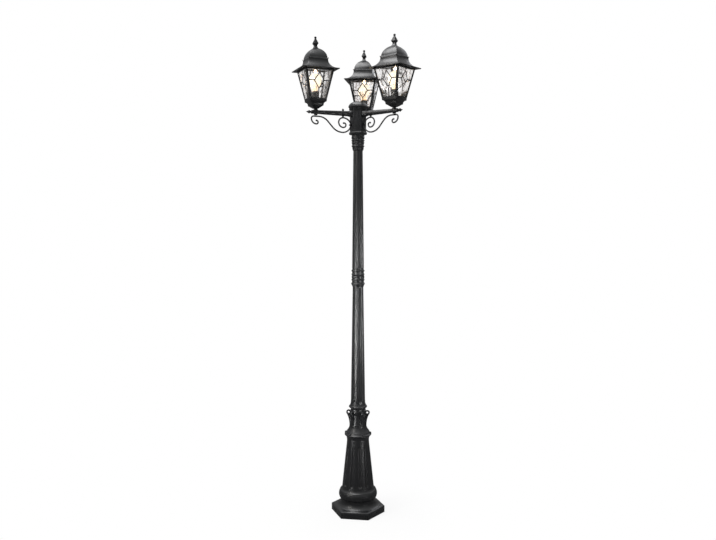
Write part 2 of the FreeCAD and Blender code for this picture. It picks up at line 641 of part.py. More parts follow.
def top_coupling():
    """Coupling between the upper column and the hub."""
    base = UPPER_COLUMN_TOP
    top = HUB_BASE
    outline = Outline(0, base).line(UPPER_COLUMN_TOP_RADIUS + 0.4, base)
    outline.arc(COUPLING_BODY_RADIUS - 3.0, base + 14.0, -1.2)
    bead(outline, base + 18.0, COUPLING_BEAD_RADIUS - 2.0)
    outline.line(COUPLING_GROOVE_RADIUS - 1.0, base + 31.0)
    outline.line(COUPLING_GROOVE_RADIUS - 0.6, base + 36.0)
    outline.line(COUPLING_BODY_RADIUS, base + 42.0)
    bead(outline, base + 46.0, COUPLING_BEAD_RADIUS - 1.0)
    outline.line(COUPLING_BODY_RADIUS + 0.6, base + 59.0)
    outline.line(COUPLING_BODY_RADIUS + 0.6, top - 6.0)
    outline.arc(COUPLING_BEAD_RADIUS + 0.4, top, -1.0)
    bore = UPPER_COLUMN_SPIGOT - SPIGOT_WALL
    return coupling(base, outline, top, UPPER_COLUMN_SPIGOT, TOP_SPIGOT, bore)


# ---------------------------------------------------------------- hub

def hub_body():
    """Hexagonal hub with a moulded foot, a floor for the tie rod and three arm holes."""
    flat = HUB_FLAT
    ring_flat = HUB_RING_RADIUS * math.cos(math.pi / SIDES_OF_POST)
    ring_top = HUB_BASE + HUB_RING_HEIGHT
    body = hexagonal(Outline(0, HUB_BASE).line(ring_flat - 6.0, HUB_BASE)
                     .arc(ring_flat, HUB_BASE + 4.0, 1.0)
                     .line(ring_flat, ring_top - 5.0)
                     .arc(flat, ring_top, -1.2)
                     .line(flat, HUB_TOP).line(0, HUB_TOP))
    corner = HUB_CORNER_RADIUS - HUB_WALL / math.cos(math.pi / SIDES_OF_POST)
    floor = HUB_BASE + SPIGOT_HEIGHT + 1.0 + HUB_FLOOR
    body = body.cut(prism(SIDES_OF_POST, corner, HUB_TOP - floor, Vector(0, 0, floor)))
    body = body.cut(cylinder(TIE_ROD_RADIUS + BOLT_CLEARANCE, HUB_HEIGHT, Vector(0, 0, HUB_BASE)))
    for angle in (30.0, 150.0, 270.0):
        way = polar(TOP_SPIGOT - SPIGOT_WALL - 3.5, angle, HUB_BASE)
        body = body.cut(cylinder(3.0, HUB_HEIGHT, way))
    body = with_socket(body, HUB_BASE, TOP_SPIGOT)
    for angle in HEADS.values():
        start = polar(HUB_FLAT - HUB_WALL - 1.0, angle, ARM_LEVEL)
        body = body.cut(cylinder(ARM_SPIGOT_RADIUS + BOLT_CLEARANCE, HUB_WALL + 2.0, start, polar(1, angle)))
        pin = polar(HUB_FLAT - HUB_WALL - 1.0, angle, HUB_PIN_LEVEL)
        body = body.cut(cylinder(HUB_PIN_RADIUS, HUB_WALL + 2.0, pin, polar(1, angle)))
        screw = polar(HUB_FLAT - HUB_WALL - 1.0, angle + 60.0, HUB_TOP - CAP_RIM_HEIGHT)
        body = body.cut(cylinder(CAP_SCREW_RADIUS, HUB_WALL + 2.0, screw, polar(1, angle + 60.0)))
    return solid(body.removeSplitter())


def hub_cap():
    """Hexagonal domed cap that drops over the hub's rim."""
    rim_flat = CAP_CORNER_RADIUS * math.cos(math.pi / SIDES_OF_POST)
    top = HUB_TOP + CAP_HEIGHT
    skirt = HUB_TOP - 2.0 * CAP_RIM_HEIGHT
    outer = hexagonal(Outline(0, skirt).line(HUB_FLAT + CAP_WALL + 0.3, skirt)
                      .line(HUB_FLAT + CAP_WALL + 0.3, HUB_TOP - 3.0)
                      .arc(rim_flat, HUB_TOP, -0.6)
                      .arc(12.0, top, 8.5)
                      .line(0, top))
    inner = hexagonal(Outline(0, HUB_TOP).line(HUB_FLAT - HUB_WALL, HUB_TOP)
                      .arc(10.0, top - CAP_WALL - 2.0, 5.0).line(0, top - CAP_WALL - 2.0))
    fit = HUB_CORNER_RADIUS + SPIGOT_CLEARANCE
    well = prism(SIDES_OF_POST, fit, HUB_TOP - skirt, Vector(0, 0, skirt))
    body = outer.cut(inner).cut(well)
    for angle in HEADS.values():
        start = polar(HUB_FLAT - 1.0, angle + 60.0, HUB_TOP - CAP_RIM_HEIGHT)
        reach = CAP_WALL + 3.0
        body = body.cut(cylinder(CAP_SCREW_RADIUS + BOLT_CLEARANCE, reach, start, polar(1, angle + 60.0)))
    return solid(body.removeSplitter())


def hub_cap_screws():
    """Three small screws through the cap's skirt into the hub."""
    screws = []
    seat = HUB_FLAT + CAP_WALL + 0.3
    for angle in HEADS.values():
        way = polar(1, angle + 60.0)
        level = HUB_TOP - CAP_RIM_HEIGHT
        start = polar(HUB_FLAT - HUB_WALL, angle + 60.0, level)
        shank = cylinder(CAP_SCREW_RADIUS, seat - HUB_FLAT + HUB_WALL, start, way)
        head = cylinder(CAP_SCREW_RADIUS * 1.8, 1.8, polar(seat, angle + 60.0, level), way)
        screws.append(shank.fuse(head))
    return Part.makeCompound(screws)


def nut(base, hole_radius, corner_radius, height):
    """A hexagon nut standing on its base."""
    return prism(6, corner_radius, height, base).cut(cylinder(hole_radius, height, base))


def tie_rod():
    """The rod that clamps the post's castings together."""
    low = PLINTH_HEIGHT - BRIDGE_THICKNESS - WASHER_THICKNESS - NUT_HEIGHT - TIE_ROD_END
    floor = HUB_BASE + SPIGOT_HEIGHT + 1.0 + HUB_FLOOR
    high = floor + WASHER_THICKNESS + NUT_HEIGHT + TIE_ROD_END
    return revolved(Outline(0, low).line(TIE_ROD_RADIUS - 1.0, low).line(TIE_ROD_RADIUS, low + 1.0)
                    .line(TIE_ROD_RADIUS, high - 1.0).line(TIE_ROD_RADIUS - 1.0, high).line(0, high))


def tie_rod_nuts():
    """Nut and washer under the plinth's bridge and over the hub's floor."""
    bridge = PLINTH_HEIGHT - BRIDGE_THICKNESS
    floor = HUB_BASE + SPIGOT_HEIGHT + 1.0 + HUB_FLOOR
    hole = TIE_ROD_RADIUS
    pieces = [ring(WASHER_RADIUS, hole, WASHER_THICKNESS, Vector(0, 0, bridge - WASHER_THICKNESS)),
              nut(Vector(0, 0, bridge - WASHER_THICKNESS - NUT_HEIGHT), hole, NUT_CORNER_RADIUS, NUT_HEIGHT),
              ring(WASHER_RADIUS, hole, WASHER_THICKNESS, Vector(0, 0, floor)),
              nut(Vector(0, 0, floor + WASHER_THICKNESS), hole, NUT_CORNER_RADIUS, NUT_HEIGHT)]
    return Part.makeCompound(pieces)


def terminal_block():
    """Mains connector on a post that stands on the hub's floor."""
    floor = HUB_BASE + SPIGOT_HEIGHT + 1.0 + HUB_FLOOR
    centre = polar(WASHER_RADIUS + TERMINAL_POST_RADIUS + 3.0, 270.0)
    foot = cylinder(TERMINAL_POST_RADIUS, NUT_HEIGHT + TIE_ROD_END + 10.0, centre + Vector(0, 0, floor))
    low = Vector(-TERMINAL_LENGTH / 2, -TERMINAL_WIDTH - 8.0, floor + NUT_HEIGHT + TIE_ROD_END + 8.0)
    block = box(low, low + Vector(TERMINAL_LENGTH, TERMINAL_WIDTH, TERMINAL_HEIGHT))
    for index in range(3):
        way = low + Vector(TERMINAL_LENGTH * (index + 0.5) / 3, 0, TERMINAL_HEIGHT * 0.4)
        block = block.cut(cylinder(2.0, TERMINAL_WIDTH, way, Vector(0, 1, 0)))
    return solid(block.fuse(foot).removeSplitter())


# ---------------------------------------------------------------- arms

def along_arm(shape):
    """Lays a shape that was turned about Z down along +X, at the arm's level."""
    copy = shape.copy()
    copy.rotate(ORIGIN, Vector(0, 1, 0), 90)
    copy.translate(Vector(0, 0, ARM_LEVEL))
    return copy


def arm():
    """Tapered hollow arm with a flange at the hub, bosses for its fixings and a cable bore."""
    flange = HUB_FLAT + ARM_FLANGE_THICKNESS
    flare = flange + ARM_FLARE_LENGTH
    end = ARM_REACH + ARM_OVERHANG
    tail = HUB_FLAT - HUB_WALL - LOCK_NUT_THICKNESS - 1.0
    body = revolved(Outline(0, tail).line(ARM_SPIGOT_RADIUS, tail).line(ARM_SPIGOT_RADIUS, HUB_FLAT)
                    .line(ARM_FLANGE_RADIUS, HUB_FLAT).line(ARM_FLANGE_RADIUS, flange)
                    .arc(ARM_ROOT_RADIUS, flare, -1.5)
                    .line(ARM_END_RADIUS, end).line(0, end))
    body = along_arm(body)
    seat = Vector(ARM_REACH, 0, ARM_LEVEL - ARM_SEAT_HALF_HEIGHT)
    body = body.fuse(cylinder(ARM_SEAT_RADIUS, 2 * ARM_SEAT_HALF_HEIGHT, seat))
    boss = Vector(SCROLL_BOLT_POINT.x, 0, ARM_LEVEL - SCROLL_BOLT_SEAT)
    body = body.fuse(cylinder(SCROLL_BALL_RADIUS + 0.5, 2 * SCROLL_BOLT_SEAT, boss))
    bore_length = ARM_REACH + NIPPLE_RADIUS - tail
    body = body.cut(cylinder(ARM_BORE_RADIUS, bore_length, Vector(tail, 0, ARM_LEVEL), Vector(1, 0, 0)))
    stud = Vector(end - TIP_STUD_LENGTH - 0.5, 0, ARM_LEVEL)
    body = body.cut(cylinder(TIP_STUD_RADIUS, TIP_STUD_LENGTH + 0.5, stud, Vector(1, 0, 0)))
    body = body.cut(cylinder(NIPPLE_RADIUS + BOLT_CLEARANCE, 2 * ARM_SEAT_HALF_HEIGHT, seat))
    body = body.cut(cylinder(SCROLL_BOLT_RADIUS + BOLT_CLEARANCE, 2 * SCROLL_BOLT_SEAT, boss))
    return solid(body.removeSplitter())


def arm_tip():
    """Pointed tip: collar, neck and diamond, with a stud that screws into the arm."""
    start = ARM_REACH + ARM_OVERHANG
    neck = start + TIP_COLLAR_LENGTH + 3.0
    wide = neck + 0.32 * (TIP_LENGTH - TIP_COLLAR_LENGTH)
    end = start + TIP_LENGTH
    shoulder = ARM_END_RADIUS - 1.0
    body = revolved(Outline(0, start - TIP_STUD_LENGTH).line(TIP_STUD_RADIUS, start - TIP_STUD_LENGTH)
                    .line(TIP_STUD_RADIUS, start).line(shoulder, start)
                    .arc(shoulder, start + TIP_COLLAR_LENGTH, TIP_COLLAR_RADIUS - shoulder)
                    .line(TIP_NECK_RADIUS, neck)
                    .line(TIP_DIAMOND_RADIUS, wide)
                    .arc(0.6, end, -0.8).line(0, end))
    return solid(along_arm(body))


def lock_nut():
    """Ring nut inside the hub that holds an arm's tail."""
    body = nut(ORIGIN, ARM_SPIGOT_RADIUS, LOCK_NUT_CORNER_RADIUS, LOCK_NUT_THICKNESS)
    return moved(along_arm(body), Vector(HUB_FLAT - HUB_WALL - LOCK_NUT_THICKNESS, 0, 0))


# The bracket's centre line as tangent stretches: (radius, turn in degrees), with a turn to the
# left positive, and a straight stretch as (length, 0). It starts at the small curl's inner end,
# going towards the post.
SCROLL_STRETCHES = ((8.5, 180.0), (26.0, 90.0), (11.0, 90.0), (26.0, 0.0), (65.0, 48.0), (38.0, 0.0),
                    (70.0, -48.0), (46.0, -45.0), (34.0, -45.0), (30.0, -45.0), (45.0, -45.0),
                    (22.6, -90.0), (25.0, -90.0), (13.0, -90.0), (9.0, -110.0))
SCROLL_HUB_STATION = 9
SCROLL_BOLT_STATION = 11


def in_plane(degrees, length=1.0):
    """A vector of the arm's plane at an angle from the arm's direction."""
    angle = math.radians(degrees)
    return Vector(math.cos(angle), 0, math.sin(angle)) * length


def scroll_stretches():
    """The bracket's centre line: its edges and the points where they meet."""
    scale = ARM_REACH / SCROLL_DRAWN_REACH
    place = Vector(0, 0, ARM_LEVEL - SCROLL_START_DROP * scale)
    heading = 180.0
    edges = []
    stations = [place]
    for drawn, turn in SCROLL_STRETCHES:
        size = drawn * scale
        if turn == 0.0:
            following = place + in_plane(heading, size)
            edges.append(Part.LineSegment(place, following).toShape())
        else:
            side = math.copysign(90.0, turn)
            centre = place + in_plane(heading + side, size)
            middle = centre + in_plane(heading - side + turn / 2, size)
            following = centre + in_plane(heading - side + turn, size)
            edges.append(Part.Arc(place, middle, following).toShape())
        heading += turn
        place = following
        stations.append(place)
    return edges, stations


SCROLL_EDGES, SCROLL_STATIONS = scroll_stretches()
SCROLL_SEAT = HUB_FLAT + SCROLL_BAR_RADIUS + SEAT_GAP
SCROLL_SHIFT = Vector(SCROLL_SEAT - SCROLL_STATIONS[SCROLL_HUB_STATION].x, 0, 0)
SCROLL_HUB_POINT = SCROLL_STATIONS[SCROLL_HUB_STATION] + SCROLL_SHIFT
SCROLL_BOLT_POINT = SCROLL_STATIONS[SCROLL_BOLT_STATION] + SCROLL_SHIFT
HUB_PIN_LEVEL = SCROLL_HUB_POINT.z


def scroll():
    """S-scroll bracket: one bar bent in the arm's plane, with holes for its two fixings."""
    section = Part.Wire(Part.makeCircle(SCROLL_BAR_RADIUS, SCROLL_STATIONS[0], Vector(1, 0, 0)))
    bar = Part.Wire(SCROLL_EDGES).makePipeShell([section], True, True)
    for end in (SCROLL_STATIONS[0], SCROLL_STATIONS[-1]):
        bar = bar.fuse(Part.makeSphere(SCROLL_BAR_RADIUS + SCROLL_EYE_GROWTH, end))
    bar = moved(bar, SCROLL_SHIFT)
    pin = Vector(HUB_FLAT, 0, HUB_PIN_LEVEL)
    bar = bar.cut(cylinder(HUB_PIN_RADIUS + 0.1, 2.0 * SCROLL_BAR_RADIUS + 2.0, pin, Vector(1, 0, 0)))
    bolt = SCROLL_BOLT_POINT - Vector(0, 0, SCROLL_BAR_RADIUS - 1.0)
    return solid(bar.cut(cylinder(SCROLL_BOLT_RADIUS + 0.1, 3.0 * SCROLL_BAR_RADIUS, bolt)))


def scroll_fixing():
    """Ball-headed bolt with its spacer, and the pin to the hub, for one bracket."""
    top = ARM_LEVEL + SCROLL_BOLT_SEAT
    low = SCROLL_BOLT_POINT.z - SCROLL_BAR_RADIUS + 1.2
    crown = SCROLL_BOLT_POINT.z + SCROLL_BAR_RADIUS + SEAT_GAP
    centre = Vector(SCROLL_BOLT_POINT.x, 0, 0)
    bolt = revolved(Outline(0, low).line(SCROLL_BOLT_RADIUS, low).line(SCROLL_BOLT_RADIUS, top)
                    .line(SCROLL_BALL_RADIUS, top).line(SCROLL_BALL_RADIUS - 1.0, top + 1.5)
                    .arc(0.8, top + 2.0 * SCROLL_BALL_RADIUS, 2.4).line(0, top + 2.0 * SCROLL_BALL_RADIUS))
    spacer = ring(SCROLL_BALL_RADIUS - 0.5, SCROLL_BOLT_RADIUS + 0.1, ARM_LEVEL - SCROLL_BOLT_SEAT - crown,
                  Vector(0, 0, crown))
    start = Vector(HUB_FLAT - HUB_WALL, 0, HUB_PIN_LEVEL)
    head = SCROLL_HUB_POINT + Vector(SCROLL_BAR_RADIUS + SEAT_GAP, 0, 0)
    pin = cylinder(HUB_PIN_RADIUS, head.x - start.x, start, Vector(1, 0, 0))
    dome = revolved(Outline(0, 0).line(HUB_PIN_HEAD_RADIUS, 0).line(HUB_PIN_HEAD_RADIUS, 1.5)
                    .arc(0.5, 4.5, 1.4).line(0, 4.5))
    dome.rotate(ORIGIN, Vector(0, 1, 0), 90)
    return [moved(bolt, centre), moved(spacer, centre), pin.fuse(moved(dome, head))]


# ---------------------------------------------------------------- lantern, about its own axis

def square(outline):
    """A mitred body with four sides."""
    return mitred(outline, 4)


def lantern_base():
    """Stepped four-sided pan on a round foot, open at the top."""
    step = PAN_BASE + PAN_CONE_HEIGHT
    cove = step + PAN_STEP_HEIGHT
    rim = cove + PAN_COVE_HEIGHT
    outer = square(Outline(0, PAN_BASE).line(PAN_FOOT_HALF, PAN_BASE)
                   .line(PAN_STEP_HALF - 5.0, step - 2.0).line(PAN_STEP_HALF - 1.0, step)
                   .line(PAN_STEP_HALF, cove)
                   .arc(PAN_RIM_HALF - 1.0, rim, -2.5)
                   .line(PAN_RIM_HALF, PAN_TOP).line(0, PAN_TOP))
    inner = square(Outline(0, PAN_FLOOR).line(PAN_STEP_HALF - 2 * PAN_WALL, PAN_FLOOR)
                   .line(PAN_STEP_HALF - PAN_WALL, cove + 1.0)
                   .arc(PAN_RIM_HALF - 2 * PAN_WALL, rim + PAN_WALL, -2.0)
                   .line(PAN_RIM_HALF - 2 * PAN_WALL, PAN_TOP).line(0, PAN_TOP))
    foot = revolved(Outline(0, LANTERN_FOOT).line(LANTERN_FOOT_RADIUS, LANTERN_FOOT)
                    .line(LANTERN_FOOT_RADIUS, LANTERN_FOOT + 1.5)
                    .arc(LANTERN_NECK_RADIUS, LANTERN_FOOT + LANTERN_FOOT_HEIGHT / 2, -0.8)
                    .arc(PAN_FOOT_HALF, PAN_BASE + 2.0, -0.8).line(0, PAN_BASE + 2.0))
    body = outer.fuse(foot).cut(inner)
    height = PAN_FLOOR - LANTERN_FOOT
    body = body.cut(cylinder(NIPPLE_RADIUS + BOLT_CLEARANCE, height, Vector(0, 0, LANTERN_FOOT)))
    return solid(body.removeSplitter())


def cage_half(height):
    """Half width of the cage's outside at a height above the pan."""
    return PAN_RIM_HALF + (CAGE_TOP_HALF - PAN_RIM_HALF) * height / CAGE_HEIGHT


def cage_slab(inset, low, high):
    """Tapered four-sided body between two heights above the pan, set in from the outside."""
    return square(Outline(0, PAN_TOP + low).line(cage_half(low) - inset, PAN_TOP + low)
                  .line(cage_half(high) - inset, PAN_TOP + high).line(0, PAN_TOP + high))


def window():
    """Cutter for the opening of the cage's +X side, between the corner bars and the rails."""
    low = CAGE_RAIL_HEIGHT
    high = CAGE_HEIGHT - CAGE_RAIL_HEIGHT - 1.0
    low_half = cage_half(low) - CORNER_BAR_WIDTH
    high_half = cage_half(high) - CORNER_BAR_WIDTH
    start = PAN_RIM_HALF / 2
    corners = [Vector(start, -low_half, PAN_TOP + low), Vector(start, low_half, PAN_TOP + low),
               Vector(start, high_half, PAN_TOP + high), Vector(start, -high_half, PAN_TOP + high)]
    return Part.Face(Part.makePolygon(corners + corners[:1])).extrude(Vector(CAGE_TOP_HALF, 0, 0))


def lantern_frame():
    """Four corner angles with a bottom rail and a top rail."""
    body = cage_slab(0, 0, CAGE_HEIGHT).cut(cage_slab(CAGE_WALL, 0, CAGE_HEIGHT))
    for index in range(4):
        body = body.cut(turned(window(), 90.0 * index))
    rail_top = CAGE_HEIGHT
    rail_low = CAGE_HEIGHT - CAGE_RAIL_HEIGHT
    inner_top = cage_half(rail_top) - CAGE_RAIL_WIDTH
    top_rail = cage_slab(0.5, rail_low, rail_top)
    top_rail = top_rail.cut(box(Vector(-inner_top, -inner_top, PAN_TOP + rail_low),
                                Vector(inner_top, inner_top, PAN_TOP + rail_top)))
    inner_low = PAN_RIM_HALF - CAGE_WALL - PANE_THICKNESS - 0.5
    low_rail = cage_slab(0.5, 0, CAGE_RAIL_HEIGHT - 2.0)
    low_rail = low_rail.cut(box(Vector(-inner_low, -inner_low, PAN_TOP),
                                Vector(inner_low, inner_low, PAN_TOP + CAGE_RAIL_HEIGHT)))
    body = body.fuse(top_rail).fuse(low_rail)
    reach = cage_half(rail_top)
    slot = box(Vector(-reach + CAGE_WALL, -YOKE_WIDTH / 2 - 0.2, PAN_TOP + rail_top - YOKE_THICKNESS),
               Vector(reach - CAGE_WALL, YOKE_WIDTH / 2 + 0.2, PAN_TOP + rail_top))
    return solid(body.cut(slot).removeSplitter())


def pane_sheet(inset, thickness, low, high):
    """Four-sided sheet, set in from the cage's outside."""
    return cage_slab(inset, low, high).cut(cage_slab(inset + thickness, low, high))


def side_wedge(gap):
    """The quarter round the +X side, short of the diagonals by the gap."""
    reach = 2 * CAGE_TOP_HALF
    corners = [Vector(gap, 0, PAN_TOP), Vector(reach + gap, -reach, PAN_TOP),
               Vector(reach + gap, reach, PAN_TOP)]
    return Part.Face(Part.makePolygon(corners + corners[:1])).extrude(Vector(0, 0, CAGE_HEIGHT))


def lantern_glass():
    """Four clear panes inside the corner angles."""
    low = CAGE_RAIL_HEIGHT - 2.0
    high = CAGE_HEIGHT - CAGE_RAIL_HEIGHT - PANE_CLEARANCE
    pane = pane_sheet(CAGE_WALL, PANE_THICKNESS, low, high).common(side_wedge(PANE_CLEARANCE))
    return Part.makeCompound([turned(solid(pane), 90.0 * index) for index in range(4)])


def strip(start, end):
    """A flat strip between two points of the YZ plane, as wide as the came."""
    along = (end - start).normalize()
    side = Vector(0, -along.z, along.y) * (CAME_WIDTH / 2)
    corners = [start - side, end - side, end + side, start + side]
    return Part.Face(Part.makePolygon(corners + corners[:1])).extrude(Vector(2 * CAGE_TOP_HALF, 0, 0))


def lead_came():
    """Lead strips on each pane: a lozenge joined to the pane's sides, top and bottom."""
    centre = PAN_TOP + LOZENGE_CENTRE_HEIGHT
    top = Vector(0, 0, centre + LOZENGE_HALF_HEIGHT)
    bottom = Vector(0, 0, centre - LOZENGE_HALF_HEIGHT)
    left = Vector(0, -LOZENGE_HALF_WIDTH, centre)
    right = Vector(0, LOZENGE_HALF_WIDTH, centre)
    reach = Vector(0, CAGE_TOP_HALF, 0)
    rise = Vector(0, 0, CAGE_HEIGHT)
    pattern = strip(left, top)
    for start, end in ((top, right), (right, bottom), (bottom, left), (left, left - reach),
                       (right, right + reach), (top, top + rise), (bottom, bottom - rise)):
        pattern = pattern.fuse(strip(start, end))
    sheet = pane_sheet(CAGE_WALL - CAME_THICKNESS, CAME_THICKNESS, CAGE_RAIL_HEIGHT + 0.3,
                       CAGE_HEIGHT - CAGE_RAIL_HEIGHT - 1.3)
    opening = window()
    lattice = sheet.common(opening).common(pattern).removeSplitter()
    return Part.makeCompound([turned(solid(lattice), 90.0 * index) for index in range(4)])


def roof():
    """Four-sided ogee roof shell with a soffit that rests on the cage's top rail."""
    band_top = BAND_LEVEL + BAND_HEIGHT
    rim = EAVE_LEVEL + EAVE_THICKNESS
    outer = square(Outline(0, EAVE_LEVEL).line(EAVE_HALF, EAVE_LEVEL).line(EAVE_HALF, rim)
                   .line(EAVE_HALF - BRIM_WIDTH, rim + 0.8)
                   .arc(BAND_HALF, BAND_LEVEL, -FLARE_SAGITTA)
                   .line(BAND_HALF, band_top).line(DOME_HALF, band_top + 1.0)
                   .arc(ROOF_TOP_HALF, ROOF_TOP, DOME_SAGITTA).line(0, ROOF_TOP))
    wall = ROOF_WALL
    soffit = cage_half(CAGE_HEIGHT) - CAGE_RAIL_WIDTH
    shelf = EAVE_LEVEL + SOFFIT_THICKNESS
    inner = square(Outline(0, shelf).line(EAVE_HALF - 3.5 * wall, shelf)
                   .arc(BAND_HALF - wall - 1.0, BAND_LEVEL, -FLARE_SAGITTA)
                   .line(DOME_HALF - wall, band_top)
                   .arc(ROOF_TOP_HALF - wall, ROOF_TOP - wall, DOME_SAGITTA).line(0, ROOF_TOP - wall))
    opening = box(Vector(-soffit, -soffit, EAVE_LEVEL), Vector(soffit, soffit, rim))
    body = outer.cut(inner).cut(opening)
    body = body.cut(cylinder(STUD_RADIUS + 0.5, 4 * wall, Vector(0, 0, ROOF_TOP - 3 * wall)))
    for index in range(4):
        corner = DOME_HALF - 1.5
        ear = Part.makeCone(ROOF_EAR_RADIUS, 0.4, ROOF_EAR_LENGTH, Vector(corner, corner, band_top - 1.0),
                            Vector(1, 1, 1))
        body = body.fuse(turned(ear, 90.0 * index))
    return solid(body.cut(inner).removeSplitter())


def finial():
    """Four-sided finial that screws onto the stud and holds the roof down."""
    neck = ROOF_TOP + FINIAL_BASE_HEIGHT
    lower = neck + FINIAL_NECK_HEIGHT
    wide = lower + FINIAL_LOWER_HEIGHT
    top = wide + FINIAL_UPPER_HEIGHT
    body = square(Outline(0, ROOF_TOP).line(ROOF_TOP_HALF - 1.0, ROOF_TOP)
                  .arc(FINIAL_NECK_HALF, neck, -1.2).line(FINIAL_NECK_HALF, lower)
                  .line(FINIAL_WIDE_HALF, wide).line(FINIAL_TOP_HALF, top).line(0, top))
    ball = Part.makeSphere(FINIAL_BALL_RADIUS, Vector(0, 0, top + FINIAL_BALL_RADIUS * 0.82))
    depth = STUD_ENGAGEMENT + 1.0
    hole = cylinder(STUD_RADIUS + STUD_CLEARANCE, depth, Vector(0, 0, ROOF_TOP))
    return solid(body.fuse(ball).cut(hole).removeSplitter())


def roof_yoke():
    """Flat strap across the cage's top rail with the stud that takes the finial."""
    top = EAVE_LEVEL
    reach = cage_half(CAGE_HEIGHT) - CAGE_WALL - 0.3
    strap = box(Vector(-reach, -YOKE_WIDTH / 2, top - YOKE_THICKNESS), Vector(reach, YOKE_WIDTH / 2, top))
    stud = cylinder(STUD_RADIUS, ROOF_TOP + STUD_ENGAGEMENT - top, Vector(0, 0, top))
    collar = cylinder(STUD_RADIUS + 3.0, 4.0, Vector(0, 0, top))
    return solid(strap.fuse(collar).fuse(stud).removeSplitter())


def lampholder():
    """Screw lampholder on the pan's nipple."""
    skirt = HOLDER_TOP - HOLDER_SOCKET_DEPTH - 4.0
    floor = HOLDER_TOP - HOLDER_SOCKET_DEPTH
    body = revolved(Outline(0, HOLDER_BASE).line(NIPPLE_RADIUS + 3.0, HOLDER_BASE)
                    .line(NIPPLE_RADIUS + 3.0, HOLDER_BASE + 5.0)
                    .arc(HOLDER_RADIUS - 1.0, HOLDER_BASE + 12.0, 2.0)
                    .line(HOLDER_RADIUS - 1.0, skirt).line(HOLDER_RADIUS, skirt + 1.5)
                    .line(HOLDER_RADIUS, HOLDER_TOP - 1.0).line(HOLDER_RADIUS - 1.0, HOLDER_TOP)
                    .line(0, HOLDER_TOP))
    socket = cylinder(BULB_CAP_RADIUS + BULB_CAP_CLEARANCE, HOLDER_SOCKET_DEPTH, Vector(0, 0, floor))
    thread = cylinder(NIPPLE_RADIUS, 8.0, Vector(0, 0, HOLDER_BASE))
    return solid(body.cut(socket).cut(thread))


def bulb_cap():
    """Screw cap of the lamp, with its insulator and contact."""
    shell_low = BULB_CAP_BASE + 5.0
    shell_top = shell_low + BULB_CAP_SHELL
    return revolved(Outline(0, BULB_CAP_BASE).line(4.0, BULB_CAP_BASE).line(5.0, BULB_CAP_BASE + 1.5)
                    .line(BULB_CAP_RADIUS - 2.0, shell_low).line(BULB_CAP_RADIUS, shell_low + 1.5)
                    .line(BULB_CAP_RADIUS, shell_top).line(0, shell_top))


def bulb_glass():
    """Hollow pear-shaped envelope on the cap."""
    low = BULB_CAP_BASE + 5.0 + BULB_CAP_SHELL
    top = low + BULB_HEIGHT
    middle = top - BULB_RADIUS

    def pear(inset):
        """The outline's right half, set in by the wall."""
        radius = BULB_RADIUS - inset
        diagonal = radius * math.sqrt(0.5)
        shape = Outline(0, low).line(BULB_NECK_RADIUS - inset, low)
        shape.arc(diagonal, middle - diagonal, -2.5)
        shape.arc(diagonal, middle + diagonal, radius - diagonal)
        return shape.arc(0, middle + radius, radius * (1 - math.cos(math.radians(22.5))))

    return solid(revolved(pear(0)).cut(revolved(pear(BULB_WALL))))


def lantern_fixing():
    """Threaded nipple, its nut in the pan and its round nut under the arm."""
    low = ARM_LEVEL - ARM_SEAT_HALF_HEIGHT - NIPPLE_NUT_HEIGHT
    high = HOLDER_BASE + 7.5
    base = Vector(0, 0, low)
    nipple = ring(NIPPLE_RADIUS, NIPPLE_BORE_RADIUS, high - low, base)
    upper = nut(Vector(0, 0, PAN_FLOOR), NIPPLE_RADIUS, NIPPLE_NUT_CORNER_RADIUS, NIPPLE_NUT_HEIGHT)
    lower = revolved(Outline(NIPPLE_RADIUS, low).line(NIPPLE_RADIUS + 1.5, low)
                     .arc(NIPPLE_NUT_CORNER_RADIUS, low + NIPPLE_NUT_HEIGHT, 1.5)
                     .line(NIPPLE_RADIUS, low + NIPPLE_NUT_HEIGHT))
    return [nipple, upper, lower]


# ---------------------------------------------------------------- assembly

POST_PIECES = {
    "plinth": plinth,
    "ground_plate": ground_plate,
    "plinth_screws": plinth_screws,
    "cable_grommet": cable_grommet,
    "fluted_base": fluted_base,
    "vase": vase,
    "mid_coupling": mid_coupling,
    "top_coupling": top_coupling,
    "hub_body": hub_body,
    "hub_cap": hub_cap,
    "hub_cap_screws": hub_cap_screws,
    "tie_rod": tie_rod,
    "tie_rod_nuts": tie_rod_nuts,
    "terminal_block": terminal_block,
}

ARM_PIECES = {"arm": arm, "arm_tip": arm_tip, "scroll": scroll}

LANTERN_PIECES = {
    "lantern_base": lantern_base,
    "lantern_frame": lantern_frame,
    "lantern_glass": lantern_glass,
    "lead_came": lead_came,
    "roof": roof,
    "finial": finial,
    "roof_yoke": roof_yoke,
    "lampholder": lampholder,
    "bulb_cap": bulb_cap,
    "bulb_glass": bulb_glass,
}


def save(name, shape):
    """Writes one sub-part and says how it came out."""
    shape.exportStep("parts/%s.step" % name)
    print("%-20s solids %2d valid %s volume %.0f" % (name, len(shape.Solids), shape.isValid(), shape.Volume))


